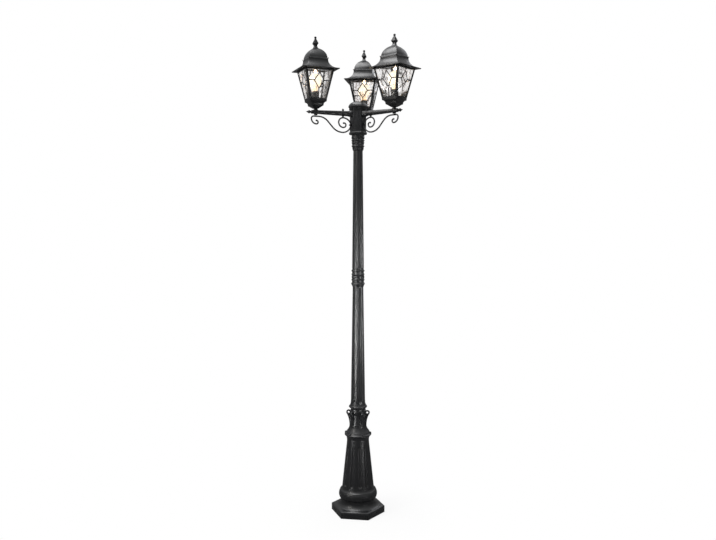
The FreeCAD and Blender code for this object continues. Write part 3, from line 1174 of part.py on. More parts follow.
def build():
    """Builds every sub-part and writes it."""
    os.makedirs("parts", exist_ok=True)
    for name, make in POST_PIECES.items():
        save(name, make())
    save("lower_column", fluted_column(VASE_TOP, LOWER_COLUMN_TOP, LOWER_COLUMN_FOOT_RADIUS,
                                       LOWER_COLUMN_TOP_RADIUS, VASE_SPIGOT, LOWER_COLUMN_SPIGOT))
    save("upper_column", fluted_column(MID_COUPLING_TOP, UPPER_COLUMN_TOP, UPPER_COLUMN_FOOT_RADIUS,
                                       UPPER_COLUMN_TOP_RADIUS, MID_SPIGOT, UPPER_COLUMN_SPIGOT))
    for name, make in ARM_PIECES.items():
        piece = make()
        for head, angle in HEADS.items():
            save("%s_%s" % (head, name), turned(piece, angle))
    for name, make in LANTERN_PIECES.items():
        piece = moved(make(), Vector(ARM_REACH, 0, 0))
        for head, angle in HEADS.items():
            save("%s_%s" % (head, name), turned(piece, angle))
    lantern_parts = [moved(piece, Vector(ARM_REACH, 0, 0)) for piece in lantern_fixing()]
    shared = {
        "arm_lock_nuts": [lock_nut()],
        "scroll_fixings": scroll_fixing(),
        "lantern_fixings": lantern_parts,
    }
    for name, pieces in shared.items():
        save(name, Part.makeCompound([turned(piece, angle) for angle in HEADS.values() for piece in pieces]))


build()
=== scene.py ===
"""Looks of a triple head lamp post: powder coated castings, leaded panes and lit lamps."""

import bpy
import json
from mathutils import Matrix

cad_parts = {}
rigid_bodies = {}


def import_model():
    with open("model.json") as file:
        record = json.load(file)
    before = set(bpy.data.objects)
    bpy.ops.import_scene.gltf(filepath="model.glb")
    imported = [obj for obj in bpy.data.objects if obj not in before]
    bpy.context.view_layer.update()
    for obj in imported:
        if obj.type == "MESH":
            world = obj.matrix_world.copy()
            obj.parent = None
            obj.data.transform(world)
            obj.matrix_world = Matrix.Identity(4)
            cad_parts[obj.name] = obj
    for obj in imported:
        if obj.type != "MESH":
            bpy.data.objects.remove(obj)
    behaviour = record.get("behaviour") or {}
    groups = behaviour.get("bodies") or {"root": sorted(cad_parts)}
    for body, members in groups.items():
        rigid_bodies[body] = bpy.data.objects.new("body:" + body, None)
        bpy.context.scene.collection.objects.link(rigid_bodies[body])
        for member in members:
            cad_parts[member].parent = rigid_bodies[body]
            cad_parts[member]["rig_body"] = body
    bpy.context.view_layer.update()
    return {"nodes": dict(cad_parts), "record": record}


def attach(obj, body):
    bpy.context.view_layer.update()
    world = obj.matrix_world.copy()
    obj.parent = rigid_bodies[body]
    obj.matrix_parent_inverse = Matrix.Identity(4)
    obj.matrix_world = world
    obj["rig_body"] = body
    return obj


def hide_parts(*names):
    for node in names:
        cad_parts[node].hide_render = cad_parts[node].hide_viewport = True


bl_info = {
    "name": "Triple Head Lamp Post",
    "version": (1, 0, 0),
    "blender": (4, 5, 0),
    "location": "3D View > Sidebar > Lamp Post",
    "description": "Finishes the castings, panes, came and lamps of a fluted garden lamp post",
    "category": "Object",
}

import bpy
import json
import math
from bpy.props import FloatProperty, FloatVectorProperty, IntProperty, PointerProperty
from mathutils import Matrix, Vector

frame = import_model()

MM = 0.001

# Each head's direction in degrees from +X, and the part's own reach and levels.
HEADS = {"rear": 90.0, "left": 210.0, "right": 330.0}
ARM_REACH = 222.4 * MM
EAVE_LEVEL = 2236.6 * MM
INNER_LIGHT_LEVEL = 2226.0 * MM

# The levels between which a lamp's glow turns from amber at its neck to white.
GLOW_LOW = 2141.0 * MM
GLOW_HIGH = 2185.0 * MM

POST_CASTINGS = ("plinth", "fluted_base", "vase", "lower_column", "mid_coupling",
                 "upper_column", "top_coupling", "hub_body", "hub_cap")
HEAD_CASTINGS = ("arm", "arm_tip", "scroll", "lantern_base", "lantern_frame", "roof", "finial")

# Plain bands of the couplings that carry leaves: foot level, height, and the radius at the
# foot and at the top.
LEAF_BANDS = {"mid_coupling": ((1213.5 * MM, 16.0 * MM, 30.8 * MM, 30.8 * MM),),
              "top_coupling": ((1857.0 * MM, 15.0 * MM, 24.4 * MM, 28.2 * MM),
                               (1887.5 * MM, 13.5 * MM, 28.8 * MM, 31.0 * MM),
                               (1915.5 * MM, 14.0 * MM, 31.4 * MM, 31.4 * MM))}
LEAF_SHARE_OF_BAND = 0.92
RIB_HALF_SHARE = 0.1
RIB_RISE = 0.4

# Meshes: how near vertices merge, the angles in degrees above which an edge is rounded or
# stays sharp, and the radius that each kind of edge is rounded to.
MERGE_DISTANCE = 0.01 * MM
ROUNDED_ABOVE = 28.0
SHARP_ABOVE = 32.0
LEAF_SHARP_ABOVE = 50.0
BEVEL_SEGMENTS = 2
PANE_EDGE = 0.3 * MM
CAME_EDGE = 0.4 * MM
SHELL_EDGE = 0.3 * MM
HOLDER_EDGE = 0.6 * MM
FIXING_EDGE = 0.4 * MM

# The camera: degrees round the post towards +X, metres, degrees below level, millimetres.
CAMERA_TURN = 8.33
CAMERA_DISTANCE = 3.740
CAMERA_HEIGHT = 1.5515
CAMERA_DIP = 4.505
CAMERA_LENS = 37.11
CAMERA_SENSOR = 36.0

# Soft boxes: place, what they are aimed at, width and height, spread in degrees and colour.
WIDE_OPEN = 180.0
COLUMN_ONLY = 34.0
SOFT_BOXES = {
    "top_light": ((-0.9, -0.4, 4.3), (0, 0, 1.9), (2.2, 2.2), WIDE_OPEN, "#ffffff"),
    "key_light": ((-2.9, -2.4, 3.1), (0, 0, 1.7), (1.0, 1.0), WIDE_OPEN, "#fffaf4"),
    "strip_left": ((-1.8, -2.05, 0.65), (0, 0, 1.15), (0.2, 0.85), COLUMN_ONLY, "#ffffff"),
    "strip_right": ((2.2, -1.6, 0.65), (0, 0, 1.15), (0.2, 0.85), COLUMN_ONLY, "#ffffff"),
    "back_light": ((1.4, 3.0, 3.2), (0, 0, 1.8), (1.8, 1.8), WIDE_OPEN, "#f6f8ff"),
}
BACK_SHARE_OF_KEY = 0.5
FLOOR_SIZE = 60.0

# The floor's contact shadow: its radii and how white the floor is inside the smaller one.
SHADOW_INNER = 0.12
SHADOW_OUTER = 0.5
SHADOW_WHITE = 0.86


# ---------------------------------------------------------------- colours and settings

def srgb(hex_colour):
    """An sRGB hex value as linear red, green and blue."""
    channels = [int(hex_colour[i:i + 2], 16) / 255 for i in (1, 3, 5)]
    return tuple(c / 12.92 if c <= 0.04045 else ((c + 0.055) / 1.055) ** 2.4 for c in channels)


def rgba(hex_colour):
    """An sRGB hex value as linear colour with full alpha."""
    return srgb(hex_colour) + (1.0,)


def share(colour, amount):
    """A darker or paler share of a linear colour, with full alpha."""
    return tuple(min(1.0, channel * amount) for channel in colour) + (1.0,)


def colour_setting(name, description, hex_colour):
    """A colour that the sidebar shows."""
    return FloatVectorProperty(name=name, description=description, subtype="COLOR", size=3,
                               min=0, max=1, default=srgb(hex_colour))


def amount_setting(name, description, default, high, low=0.0):
    """A plain number that the sidebar shows."""
    return FloatProperty(name=name, description=description, min=low, max=high, default=default)


def length_setting(name, description, default, high, low=0.0):
    """A length that the sidebar shows."""
    return FloatProperty(name=name, description=description, unit="LENGTH", min=low, max=high,
                         default=default)


class CoatSettings(bpy.types.PropertyGroup):
    """The powder coat on the castings."""
    colour: colour_setting("Coat colour", "Colour of the powder coat", "#17181a")
    roughness: amount_setting("Roughness", "0 is gloss, 1 is matt", 0.34, 1.0)
    edge_radius: length_setting("Edge radius", "Rounding of cast edges under the coat",
                                0.6 * MM, 3.0 * MM)
    # Painted lamplight: the red-brown painted inside the roofs stands for the lamp's warm glow.
    roof_lamplight: colour_setting("Primer colour", "Colour of the bare primer inside the roofs",
                           "#4c2216")


class GlazingSettings(bpy.types.PropertyGroup):
    """The rippled panes and the lead came."""
    ripple_pitch: length_setting("Ripple pitch", "Distance between ripples in the panes",
                                 23.0 * MM, 50.0 * MM, low=2.0 * MM)
    ripple_depth: amount_setting("Ripple depth", "Strength of the ripples", 0.16, 1.0)
    haze: amount_setting("Haze", "Share of lamp light that the panes scatter", 0.012, 0.5)
    came_colour: colour_setting("Came colour", "Colour of the patinated lead", "#2b2a2a")


class LampSettings(bpy.types.PropertyGroup):
    """The lit lamps."""
    glow_colour: colour_setting("Glow colour", "Colour of the lit envelope", "#fff0d2")
    glow: amount_setting("Glow", "Brightness of the lit envelope", 1.05, 20.0)
    inner_watts: amount_setting("Inner light", "Light thrown inside each lantern, in watts",
                                0.03, 20.0)


class StageSettings(bpy.types.PropertyGroup):
    """The studio round the post."""
    top_watts: amount_setting("Top light", "Power of the soft box over the post, in watts",
                              110.0, 2000.0)
    key_watts: amount_setting("Key light", "Power of the key light, in watts", 45.0, 2000.0)
    strip_watts: amount_setting("Strip lights", "Power of each upright strip light, in watts",
                                2.7, 2000.0)
    sky: amount_setting("Sky", "Strength of the soft light from all round", 0.35, 2.0)
    reflected_high: amount_setting("Reflected ceiling", "White that gloss shows from overhead",
                                   0.9, 2.0)
    reflected_low: amount_setting("Reflected horizon",
                                  "White that gloss shows from the horizon", 0.16, 2.0)


class OrnamentSettings(bpy.types.PropertyGroup):
    """Relief work on the couplings."""
    leaves: IntProperty(name="Leaves", description="Leaves round each band", min=3, max=40,
                        default=12)
    relief: length_setting("Relief", "How far the leaves stand out", 1.3 * MM, 10.0 * MM)


# ---------------------------------------------------------------- mesh helpers

def deselect_all():
    """Leaves object mode with nothing selected."""
    if bpy.context.object and bpy.context.object.mode != "OBJECT":
        bpy.ops.object.mode_set(mode="OBJECT")
    bpy.ops.object.select_all(action="DESELECT")


def select_only(obj):
    """Makes one object the selected and active one."""
    deselect_all()
    obj.hide_viewport = False
    obj.select_set(True)
    bpy.context.view_layer.objects.active = obj


def named(name):
    """The object just added, under its own name."""
    obj = bpy.context.object
    obj.name = name
    obj.data.name = name
    return obj


def add_modifier(obj, kind, **settings):
    """Adds a modifier and applies it."""
    select_only(obj)
    modifier = obj.modifiers.new(kind.title(), kind)
    for key, value in settings.items():
        setattr(modifier, key, value)
    bpy.ops.object.modifier_apply(modifier=modifier.name)


def smooth(obj, degrees):
    """Smooth shading that keeps edges sharper than the angle."""
    select_only(obj)
    bpy.ops.object.shade_smooth_by_angle(angle=math.radians(degrees))


def merged_copy(node, name):
    """A copy of a CAD node with its loose triangles merged."""
    source = frame["nodes"][node]
    obj = bpy.data.objects.new(name, source.data.copy())
    obj.data.name = name
    bpy.context.scene.collection.objects.link(obj)
    select_only(obj)
    bpy.ops.object.mode_set(mode="EDIT")
    bpy.ops.mesh.select_all(action="SELECT")
    bpy.ops.mesh.remove_doubles(threshold=MERGE_DISTANCE)
    bpy.ops.object.mode_set(mode="OBJECT")
    obj.data.materials.clear()
    return obj


def rounded_copy(node, name, radius):
    """A merged copy with its sharp edges rounded."""
    obj = merged_copy(node, name)
    if radius > 0:
        add_modifier(obj, "BEVEL", width=radius, segments=BEVEL_SEGMENTS, limit_method="ANGLE",
                     angle_limit=math.radians(ROUNDED_ABOVE), miter_outer="MITER_ARC")
    smooth(obj, SHARP_ABOVE)
    return obj


def joined(objs, name):
    """Several objects as one."""
    deselect_all()
    for obj in objs:
        obj.select_set(True)
    bpy.context.view_layer.objects.active = objs[0]
    bpy.ops.object.join()
    return named(name)


def copied(obj, name, matrix):
    """A copy with its own mesh, moved by a matrix."""
    other = obj.copy()
    other.data = obj.data.copy()
    other.name = name
    other.data.name = name
    bpy.context.scene.collection.objects.link(other)
    other.data.transform(matrix)
    return other


def dress(obj, material, body):
    """Gives a piece its material and the body it rides on."""
    obj.data.materials.clear()
    obj.data.materials.append(material)
    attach(obj, body)
    return obj


def finish_node(node, name, material, radius):
    """Replaces a CAD node with a rounded copy of itself in its finish."""
    obj = rounded_copy(node, name, radius)
    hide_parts(node)
    return dress(obj, material, frame["nodes"][node]["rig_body"])


def head_turn(head):
    """The turn and move from the lantern's own frame to its place on the post."""
    angle = math.radians(HEADS[head])
    return Matrix.Rotation(angle, 4, "Z") @ Matrix.Translation((ARM_REACH, 0, 0))


# ---------------------------------------------------------------- material helpers

def add_node(tree, kind, settings=None, **inputs):
    """Adds one shader node; inputs are values, or sockets to link.

    An input is named as its socket is, with underscores for spaces, or i and its number.
    """
    node = tree.nodes.new("ShaderNode" + kind)
    for key, value in (settings or {}).items():
        setattr(node, key, value)
    for key, value in inputs.items():
        numbered = key[0] == "i" and key[1:].isdigit()
        socket = node.inputs[int(key[1:]) if numbered else key.replace("_", " ")]
        if isinstance(value, bpy.types.NodeSocket):
            tree.links.new(value, socket)
        else:
            socket.default_value = value
    return node


def new_material(name):
    """An empty material, its node tree and the object's own coordinates in metres."""
    material = bpy.data.materials.new(name)
    material.use_nodes = True
    tree = material.node_tree
    tree.nodes.clear()
    return material, tree, add_node(tree, "TexCoord").outputs["Object"]


def noise(tree, place, scale, detail, roughness=0.5, distortion=0.0):
    """Noise as a factor from 0 to 1."""
    return add_node(tree, "TexNoise", Vector=place, Scale=scale, Detail=detail,
                    Roughness=roughness, Distortion=distortion).outputs["Fac"]


def ramp(tree, factor, *stops):
    """A colour ramp; each stop is a position and a linear colour with alpha."""
    node = add_node(tree, "ValToRGB", Fac=factor)
    elements = node.color_ramp.elements
    elements[0].position, elements[0].color = stops[0]
    elements[1].position, elements[1].color = stops[-1]
    for position, colour in stops[1:-1]:
        elements.new(position).color = colour
    return node.outputs["Color"]


def carried(tree, value, low, high, from_low=0.0, from_high=1.0):
    """A value carried over from one range to another."""
    return add_node(tree, "MapRange", Value=value, From_Min=from_low, From_Max=from_high,
                    To_Min=low, To_Max=high).outputs["Result"]


def maths(tree, operation, first, second, clamp=False):
    """One sum on two values."""
    return add_node(tree, "Math", {"operation": operation, "use_clamp": clamp}, i0=first,
                    i1=second).outputs[0]


def mixed_colour(tree, factor, first, second):
    """A mix of two colours."""
    return add_node(tree, "Mix", {"data_type": "RGBA"}, i0=factor, i6=first,
                    i7=second).outputs[2]


def bump(tree, height, strength, distance, normal=None):
    """A bump's normal, laid over another normal where one is given."""
    under = {} if normal is None else {"Normal": normal}
    return add_node(tree, "Bump", Strength=strength, Distance=distance, Height=height,
                    **under).outputs["Normal"]


def mixed_shader(tree, factor, first, second):
    """A mix of two shaders."""
    return add_node(tree, "MixShader", Fac=factor, i1=first, i2=second).outputs[0]


def output(tree, shader):
    """Links a shader to the material's surface."""
    add_node(tree, "OutputMaterial", Surface=shader)


def principled(tree, **inputs):
    """Links a Principled shader to the material's surface."""
    output(tree, add_node(tree, "BsdfPrincipled", **inputs).outputs[0])


# ---------------------------------------------------------------- materials

def powder_coat(settings):
    """Satin polyester powder coat on a sand-cast aluminium alloy.

    The eye sees a near-black, even film with a faint orange peel of about 1.5 mm and the slow
    unevenness of the casting under it; its edges are painted paler, a painted highlight.
    """
    material, tree, place = new_material("powder_coat_satin_black")
    peel = noise(tree, place, scale=620.0, detail=2.0)
    casting = noise(tree, place, scale=85.0, detail=3.0, roughness=0.55)
    broad = noise(tree, place, scale=9.0, detail=3.0, roughness=0.6)
    base = tuple(settings.colour)
    tint = ramp(tree, broad, (0.3, share(base, 0.82)), (0.75, share(base, 1.16)))
    rounding = add_node(tree, "Bevel", {"samples": 4}, Radius=1.6 * MM).outputs["Normal"]
    flat = add_node(tree, "NewGeometry").outputs["Normal"]
    along = add_node(tree, "VectorMath", {"operation": "DOT_PRODUCT"}, i0=rounding, i1=flat)
    # Painted highlight: edges, where the rounded normal leaves the flat one, are painted a paler
    # grey.
    highlight_edge = carried(tree, along.outputs["Value"], 0.0, 0.35, from_low=0.985, from_high=0.86)
    edge_highlight_tint = mixed_colour(tree, highlight_edge, tint, rgba("#4b4d50"))
    gloss = carried(tree, casting, settings.roughness - 0.05, settings.roughness + 0.08,
                    from_low=0.25, from_high=0.75)
    coarse = bump(tree, casting, strength=0.1, distance=1.2 * MM, normal=rounding)
    fine = bump(tree, peel, strength=0.16, distance=0.3 * MM, normal=coarse)
    principled(tree, Base_Color=edge_highlight_tint, Roughness=gloss, IOR=1.5, Normal=fine)
    return material


def painted_lamplight_material(settings):
    """Dull red-brown painted inside the roofs: painted lamplight, standing for the lamp's warm
    glow there.
    """
    material, tree, place = new_material("painted_warm_lamplight")
    cloud = noise(tree, place, scale=45.0, detail=4.0, roughness=0.6)
    base = tuple(settings.roof_lamplight)
    tint = ramp(tree, cloud, (0.3, share(base, 0.55)), (0.7, share(base, 1.2)))
    normal = bump(tree, cloud, strength=0.3, distance=0.6 * MM)
    principled(tree, Base_Color=tint, Roughness=0.75, IOR=1.5, Normal=normal)
    return material


def rippled_glass(settings):
    """Clear drawn glass with flame-like upright ripples.

    The ripples bend what lies behind into waves; grey and cream streaks painted into the glass
    colour stand for reflections of the surroundings. The pane's skin scatters a little of the
    lamp's light, so it glows where the lamp is near.
    """
    material, tree, place = new_material("clear_rippled_glass")
    upright = add_node(tree, "Mapping", Vector=place, Scale=(1.0, 1.0, 0.38)).outputs[0]
    per_metre = 1.0 / settings.ripple_pitch
    waves = noise(tree, upright, scale=per_metre, detail=1.5, roughness=0.45, distortion=1.4)
    streak_noise = noise(tree, upright, scale=1.6 * per_metre, detail=1.5, distortion=2.2)
    normal = bump(tree, waves, strength=settings.ripple_depth, distance=5.0 * MM)
    # Painted reflection: grey and cream streaks in the glass colour stand for the surroundings
    # seen in the panes.
    painted_reflection_streaks = ramp(tree, streak_noise, (0.33, rgba("#9a9292")), (0.39, rgba("#e4dedb")),
                   (0.46, rgba("#ffffff")))
    glass = add_node(tree, "BsdfPrincipled", Base_Color=painted_reflection_streaks, Roughness=0.04, IOR=1.48,
                     Transmission_Weight=1.0, Normal=normal)
    haze = add_node(tree, "BsdfTranslucent", Color=rgba("#fff6ea"), Normal=normal)
    glowing = mixed_shader(tree, settings.haze, glass.outputs[0], haze.outputs[0])
    # Panes let the studio light into the lantern, which plain refraction would keep out.
    clear = add_node(tree, "BsdfTransparent", Color=rgba("#eef2f0"))
    shadow = add_node(tree, "LightPath").outputs["Is Shadow Ray"]
    output(tree, mixed_shader(tree, shadow, glowing, clear.outputs[0]))
    return material


def patinated_lead(settings):
    """Lead came with a black patina: soft dull metal, blotched where hands touched it."""
    material, tree, place = new_material("patinated_lead_came")
    blotches = noise(tree, place, scale=160.0, detail=3.0, roughness=0.6)
    base = tuple(settings.came_colour)
    tint = ramp(tree, blotches, (0.35, share(base, 0.7)), (0.7, share(base, 1.7)))
    normal = bump(tree, blotches, strength=0.3, distance=0.5 * MM)
    principled(tree, Base_Color=tint, Metallic=0.6, Roughness=0.5, Normal=normal)
    return material


def lit_opal_glass(settings):
    """Opal coated lamp glass, lit from inside: warm white, a little deeper at the neck."""
    material, tree, place = new_material("opal_lamp_glass_lit")
    height = add_node(tree, "SeparateXYZ", Vector=place).outputs["Z"]
    rise = carried(tree, height, 0.0, 1.0, from_low=GLOW_LOW, from_high=GLOW_HIGH)
    glow = ramp(tree, rise, (0.0, rgba("#f0b468")), (1.0, tuple(settings.glow_colour) + (1.0,)))
    grain = noise(tree, place, scale=900.0, detail=1.0)
    normal = bump(tree, grain, strength=0.05, distance=0.2 * MM)
    principled(tree, Base_Color=rgba("#f4efe4"), Roughness=0.3, Emission_Color=glow,
               Emission_Strength=settings.glow, Normal=normal)
    return material


def rolled_shell_brass():
    """Nickel-washed brass of a lamp's screw shell, with the rolled thread's waves."""
    material, tree, place = new_material("nickel_washed_brass_shell")
    thread_pitch = 3.6 * MM
    # A wave texture's bands are 2 pi / 20 of a metre apart at a scale of 1.
    thread = add_node(tree, "TexWave", {"bands_direction": "Z", "wave_profile": "SIN"},
                      Vector=place, Scale=2.0 * math.pi / 20.0 / thread_pitch, Distortion=0.0)
    scuffs = noise(tree, place, scale=400.0, detail=3.0)
    rough = carried(tree, scuffs, 0.22, 0.42)
    normal = bump(tree, thread.outputs["Fac"], strength=0.8, distance=1.2 * MM)
    principled(tree, Base_Color=rgba("#cbbf9f"), Metallic=1.0, Roughness=rough, Normal=normal)
    return material


def moulded(name, colour, roughness, grain_size, depth):
    """Injection moulded plastic or rubber: even colour with the fine grain of its mould."""
    material, tree, place = new_material(name)
    grain = noise(tree, place, scale=1.0 / grain_size, detail=2.0)
    cloud = noise(tree, place, scale=60.0, detail=2.0)
    base = srgb(colour)
    tint = ramp(tree, cloud, (0.0, share(base, 0.9)), (1.0, share(base, 1.1)))
    normal = bump(tree, grain, strength=depth, distance=0.3 * MM)
    principled(tree, Base_Color=tint, Roughness=roughness, IOR=1.5, Normal=normal)
    return material


def plated_steel(name, dark, pale, roughness):
    """Electroplated or blackened steel, with the spangle and rubbing of small fixings."""
    material, tree, place = new_material(name)
    spangle = add_node(tree, "TexVoronoi", Vector=place, Scale=320.0)
    scuffs = noise(tree, place, scale=240.0, detail=4.0, roughness=0.6)
    tint = mixed_colour(tree, scuffs, rgba(dark), rgba(pale))
    rough = carried(tree, spangle.outputs["Distance"], roughness - 0.06, roughness + 0.1)
    normal = bump(tree, scuffs, strength=0.15, distance=0.3 * MM)
    principled(tree, Base_Color=tint, Metallic=1.0, Roughness=rough, Normal=normal)
    return material


def ray_shares(tree):
    """Two masks: rays that look straight or through glass, and rays that gloss throws back.

    A ray that glass lets through counts as glossy too, so it is taken off the second mask.
    """
    rays = add_node(tree, "LightPath").outputs
    clear = maths(tree, "MAXIMUM", rays["Is Camera Ray"], rays["Is Transmission Ray"])
    thrown_back = maths(tree, "SUBTRACT", rays["Is Glossy Ray"], rays["Is Transmission Ray"],
                        clamp=True)
    return clear, thrown_back


def studio_floor(stage):
    """Matt white floor that keeps a faint contact shadow and meets the white background."""
    material, tree, place = new_material("matt_white_floor")
    mottle = noise(tree, place, scale=3.0, detail=2.0)
    tint = mixed_colour(tree, mottle, rgba("#f4f4f4"), rgba("#fafafa"))
    paper = add_node(tree, "BsdfDiffuse", Color=tint)
    clear, thrown_back = ray_shares(tree)
    away = add_node(tree, "VectorMath", {"operation": "LENGTH"}, i0=place)
    fade = carried(tree, away.outputs["Value"], SHADOW_WHITE, 1.0, from_low=SHADOW_INNER,
                   from_high=SHADOW_OUTER)
    lit = maths(tree, "MAXIMUM", maths(tree, "MULTIPLY", clear, fade), thrown_back)
    strength = carried(tree, thrown_back, 1.0, stage.reflected_low)
    white = add_node(tree, "Emission", Color=(1.0, 1.0, 1.0, 1.0), Strength=strength)
    output(tree, mixed_shader(tree, lit, paper.outputs[0], white.outputs[0]))
    return material


# ---------------------------------------------------------------- stage

def settings_of(context):
    """The settings kept on the scene."""
    return context.scene.lamp_post


def place_camera(context):
    """Stands the camera a little to the right of the post's front."""
    turn = math.radians(CAMERA_TURN)
    place = (CAMERA_DISTANCE * math.sin(turn), -CAMERA_DISTANCE * math.cos(turn), CAMERA_HEIGHT)
    tilt = math.radians(90.0 - CAMERA_DIP)
    bpy.ops.object.camera_add(location=place, rotation=(tilt, 0, turn))
    camera = named("camera_front")
    camera.data.lens = CAMERA_LENS
    camera.data.sensor_width = CAMERA_SENSOR
    camera.data.sensor_fit = "HORIZONTAL"
    camera.data.clip_end = 100.0
    context.scene.camera = camera


def lay_floor(stage):
    """Lays the white floor, which isn't part of the object."""
    bpy.ops.mesh.primitive_plane_add(size=FLOOR_SIZE, location=(0, 0, 0))
    floor = named("floor")
    floor.data.materials.append(studio_floor(stage))


def hang_soft_boxes(stage):
    """Hangs the soft boxes round the post."""
    watts = {"top_light": stage.top_watts, "key_light": stage.key_watts,
             "strip_left": stage.strip_watts, "strip_right": stage.strip_watts,
             "back_light": stage.key_watts * BACK_SHARE_OF_KEY}
    for name, (spot, target, (wide, tall), spread, colour) in SOFT_BOXES.items():
        aim = Vector(target) - Vector(spot)
        bpy.ops.object.light_add(type="AREA", location=spot,
                                 rotation=aim.to_track_quat("-Z", "Y").to_euler())
        light = named(name)
        light.data.shape = "RECTANGLE"
        light.data.size = wide
        light.data.size_y = tall
        light.data.spread = math.radians(spread)
        light.data.energy = watts[name]
        light.data.color = srgb(colour)


def white_surroundings(stage):
    """A world that is white to look at, greyer in gloss near the horizon, and a soft light."""
    world = bpy.data.worlds.new("white_studio")
    world.use_nodes = True
    tree = world.node_tree
    tree.nodes.clear()
    around = add_node(tree, "TexCoord").outputs["Generated"]
    rise = add_node(tree, "SeparateXYZ", Vector=around).outputs["Z"]
    gloss = carried(tree, rise, stage.reflected_low, stage.reflected_high, from_low=0.1,
                    from_high=0.9)
    clear, thrown_back = ray_shares(tree)
    direct = carried(tree, clear, stage.sky, 1.0)
    strength = add_node(tree, "Mix", {"data_type": "FLOAT"}, i0=thrown_back, i2=direct, i3=gloss)
    white = add_node(tree, "Background", Color=(1.0, 1.0, 1.0, 1.0),
                     Strength=strength.outputs[0])
    add_node(tree, "OutputWorld", Surface=white.outputs[0])
    return world


class LAMPPOST_OT_set_stage(bpy.types.Operator):
    """Adds the camera, the floor, the soft lights and the white surroundings"""
    bl_idname = "lamp_post.set_stage"
    bl_label = "Set Stage"

    def execute(self, context):
        stage = settings_of(context).stage
        deselect_all()
        place_camera(context)
        lay_floor(stage)
        hang_soft_boxes(stage)
        context.scene.world = white_surroundings(stage)
        context.scene.view_settings.view_transform = "Standard"
        return {"FINISHED"}


# ---------------------------------------------------------------- castings

def paint_roof_inside(roof, head, roof_lamplight):
    """Gives the faces that look towards the lantern's axis, above the soffit, the painted
    lamplight's red-brown.
    """
    roof.data.materials.append(roof_lamplight)
    lamplight_slot = len(roof.data.materials) - 1
    axis = head_turn(head).to_translation()
    for polygon in roof.data.polygons:
        outward = polygon.center - axis
        outward.z = 0.0
        above_soffit = polygon.center.z > EAVE_LEVEL + 1.0 * MM
        looks_in = polygon.normal.dot(outward) < -1e-5
        looks_down = polygon.normal.z < -0.5
        if above_soffit and (looks_in or looks_down):
            polygon.material_index = lamplight_slot


class LAMPPOST_OT_coat_castings(bpy.types.Operator):
    """Rounds the edges of the castings and gives them their powder coat"""
    bl_idname = "lamp_post.coat_castings"
    bl_label = "Coat Castings"

    def execute(self, context):
        settings = settings_of(context).coat
        coat = powder_coat(settings)
        roof_lamplight = painted_lamplight_material(settings)
        heads = ["%s_%s" % (head, name) for head in HEADS for name in HEAD_CASTINGS]
        for node in [*POST_CASTINGS, *heads]:
            # The scrolls are round bars, with no edge to round.
            radius = 0.0 if node.endswith("scroll") else settings.edge_radius
            piece = finish_node(node, node + "_casting", coat, radius)
            if node.endswith("_roof"):
                paint_roof_inside(piece, node.split("_")[0], roof_lamplight)
        return {"FINISHED"}


def select_vertices(obj, test):
    """Selects, in edit mode, the vertices whose place passes the test."""
    bpy.ops.mesh.select_all(action="DESELECT")
    bpy.ops.object.mode_set(mode="OBJECT")
    for vertex in obj.data.vertices:
        vertex.select = test(vertex.co)
    bpy.ops.object.mode_set(mode="EDIT")


def leaf(name, half_width, half_height, relief):
    """One pointed leaf with a raised rib: it stands upright and faces +X."""
    bpy.ops.mesh.primitive_uv_sphere_add(segments=12, ring_count=8, radius=1.0)
    obj = named(name)
    bpy.ops.object.mode_set(mode="EDIT")
    bpy.ops.mesh.select_mode(type="VERT")
    bpy.ops.mesh.select_all(action="SELECT")
    bpy.ops.transform.resize(value=(relief, half_width, half_height), center_override=(0, 0, 0))
    # Above each share of the height the leaf narrows once more, to a point.
    for share_of_height, narrowed in ((0.1, 0.8), (0.5, 0.6)):
        select_vertices(obj, lambda co: co.z > share_of_height * half_height)
        bpy.ops.transform.resize(value=(1.0, narrowed, 1.0), center_override=(0, 0, 0))
    select_vertices(obj, lambda co: co.x > 0 and abs(co.y) < RIB_HALF_SHARE * half_width)
    bpy.ops.transform.translate(value=(RIB_RISE * relief, 0, 0))
    bpy.ops.object.mode_set(mode="OBJECT")
    return obj


def ring_of_leaves(ornament, foot, height, foot_radius, top_radius):
    """One ring of leaves that lean with their band."""
    middle_radius = (foot_radius + top_radius) / 2
    half_width = LEAF_SHARE_OF_BAND * math.pi * middle_radius / ornament.leaves
    pattern = leaf("leaf", half_width, height / 2, ornament.relief)
    lean = math.atan2(top_radius - foot_radius, height)
    place = Matrix.Translation((middle_radius, 0, foot + height / 2))
    pattern.data.transform(place @ Matrix.Rotation(lean, 4, "Y"))
    step = 2.0 * math.pi / ornament.leaves
    others = [copied(pattern, "leaf", Matrix.Rotation(step * index, 4, "Z"))
              for index in range(1, ornament.leaves)]
    return others + [pattern]


class LAMPPOST_OT_lay_leaves(bpy.types.Operator):
    """Lays rings of cast leaves on the plain bands of the couplings"""
    bl_idname = "lamp_post.lay_leaves"
    bl_label = "Lay Leaves"

    def execute(self, context):
        ornament = settings_of(context).ornament
        coat = bpy.data.materials["powder_coat_satin_black"]
        for node, bands in LEAF_BANDS.items():
            leaves = [piece for band in bands for piece in ring_of_leaves(ornament, *band)]
            ring = joined(leaves, node + "_leaves")
            smooth(ring, LEAF_SHARP_ABOVE)
            dress(ring, coat, frame["nodes"][node]["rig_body"])
        return {"FINISHED"}


# ---------------------------------------------------------------- lanterns and fixings

class LAMPPOST_OT_glaze_lanterns(bpy.types.Operator):
    """Gives the panes their rippled glass and rounds the lead came"""
    bl_idname = "lamp_post.glaze_lanterns"
    bl_label = "Glaze Lanterns"

    def execute(self, context):
        glazing = settings_of(context).glazing
        glass = rippled_glass(glazing)
        lead = patinated_lead(glazing)
        for head in HEADS:
            finish_node(head + "_lantern_glass", head + "_rippled_panes", glass,
                        PANE_EDGE)
            finish_node(head + "_lead_came", head + "_came_outer", lead, CAME_EDGE)
        return {"FINISHED"}


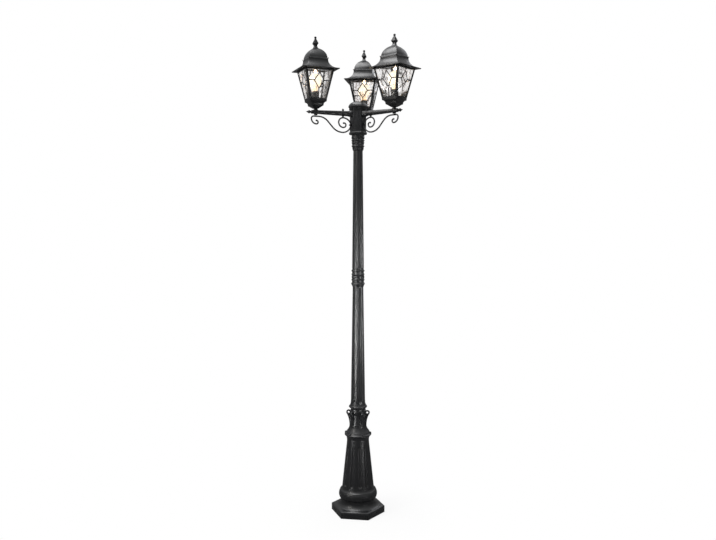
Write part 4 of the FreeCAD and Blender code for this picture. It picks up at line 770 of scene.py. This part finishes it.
class LAMPPOST_OT_fit_lamps(bpy.types.Operator):
    """Lights the lamps and finishes their caps and holders"""
    bl_idname = "lamp_post.fit_lamps"
    bl_label = "Fit Lamps"

    def execute(self, context):
        lamps = settings_of(context).lamps
        opal = lit_opal_glass(lamps)
        shell = rolled_shell_brass()
        moulding = moulded("black_thermoset_moulding", "#1b1a1a", 0.38, 0.8 * MM, 0.12)
        for head in HEADS:
            finish_node(head + "_bulb_glass", head + "_lamp_envelope", opal, 0.0)
            finish_node(head + "_bulb_cap", head + "_lamp_cap", shell, SHELL_EDGE)
            finish_node(head + "_lampholder", head + "_lampholder_shell", moulding,
                        HOLDER_EDGE)
            over_lamp = head_turn(head) @ Vector((0, 0, INNER_LIGHT_LEVEL))
            bpy.ops.object.light_add(type="POINT", location=over_lamp)
            light = named(head + "_inner_light")
            light.data.energy = lamps.inner_watts
            light.data.shadow_soft_size = 6.0 * MM
            light.data.color = srgb("#ffd9a8")
        return {"FINISHED"}


class LAMPPOST_OT_fit_fixings(bpy.types.Operator):
    """Finishes the screws, nuts, rod, ground plate, grommet and connector"""
    bl_idname = "lamp_post.fit_fixings"
    bl_label = "Fit Fixings"

    def execute(self, context):
        finishes = {
            "zinc": plated_steel("zinc_plated_steel", "#8f9499", "#bcc0c4", 0.34),
            "black_screw": plated_steel("black_coated_stainless", "#161616", "#2c2c2d", 0.4),
            "grommet_rubber": moulded("black_grommet_rubber", "#161617", 0.72, 1.2 * MM, 0.2),
            "connector_plastic": moulded("white_polyamide", "#dedbd2", 0.35, 1.0 * MM, 0.08),
        }
        for subpart in frame["record"]["subparts"]:
            node, slot = subpart["node"], subpart["material_slot"]
            if slot in finishes:
                finish_node(node, node + "_finished", finishes[slot], FIXING_EDGE)
        return {"FINISHED"}


# ---------------------------------------------------------------- registration

OPERATORS = (LAMPPOST_OT_set_stage, LAMPPOST_OT_coat_castings, LAMPPOST_OT_lay_leaves,
             LAMPPOST_OT_glaze_lanterns, LAMPPOST_OT_fit_lamps, LAMPPOST_OT_fit_fixings)


class LampPostSettings(bpy.types.PropertyGroup):
    """All the settings of the lamp post."""
    coat: PointerProperty(type=CoatSettings)
    glazing: PointerProperty(type=GlazingSettings)
    lamps: PointerProperty(type=LampSettings)
    ornament: PointerProperty(type=OrnamentSettings)
    stage: PointerProperty(type=StageSettings)


class LAMPPOST_PT_sidebar(bpy.types.Panel):
    """Lists the steps and their settings"""
    bl_label = "Lamp Post"
    bl_idname = "LAMPPOST_PT_sidebar"
    bl_space_type = "VIEW_3D"
    bl_region_type = "UI"
    bl_category = "Lamp Post"

    def draw(self, context):
        column = self.layout.column()
        for operator in OPERATORS:
            column.operator(operator.bl_idname)
        settings = settings_of(context)
        for group in (settings.coat, settings.glazing, settings.lamps, settings.ornament,
                      settings.stage):
            box = self.layout.box()
            for name in group.__annotations__:
                box.prop(group, name)


CLASSES = (CoatSettings, GlazingSettings, LampSettings, StageSettings, OrnamentSettings,
           LampPostSettings, *OPERATORS, LAMPPOST_PT_sidebar)


def register():
    """Registers the classes and the scene's settings."""
    for cls in CLASSES:
        bpy.utils.register_class(cls)
    bpy.types.Scene.lamp_post = PointerProperty(type=LampPostSettings)


def unregister():
    """Takes the classes and the settings away again."""
    del bpy.types.Scene.lamp_post
    for cls in reversed(CLASSES):
        bpy.utils.unregister_class(cls)


def main():
    """Makes every piece in order."""
    register()
    bpy.ops.lamp_post.set_stage()
    bpy.ops.lamp_post.coat_castings()
    bpy.ops.lamp_post.lay_leaves()
    bpy.ops.lamp_post.glaze_lanterns()
    bpy.ops.lamp_post.fit_lamps()
    bpy.ops.lamp_post.fit_fixings()
    deselect_all()


if __name__ == "__main__":
    main()
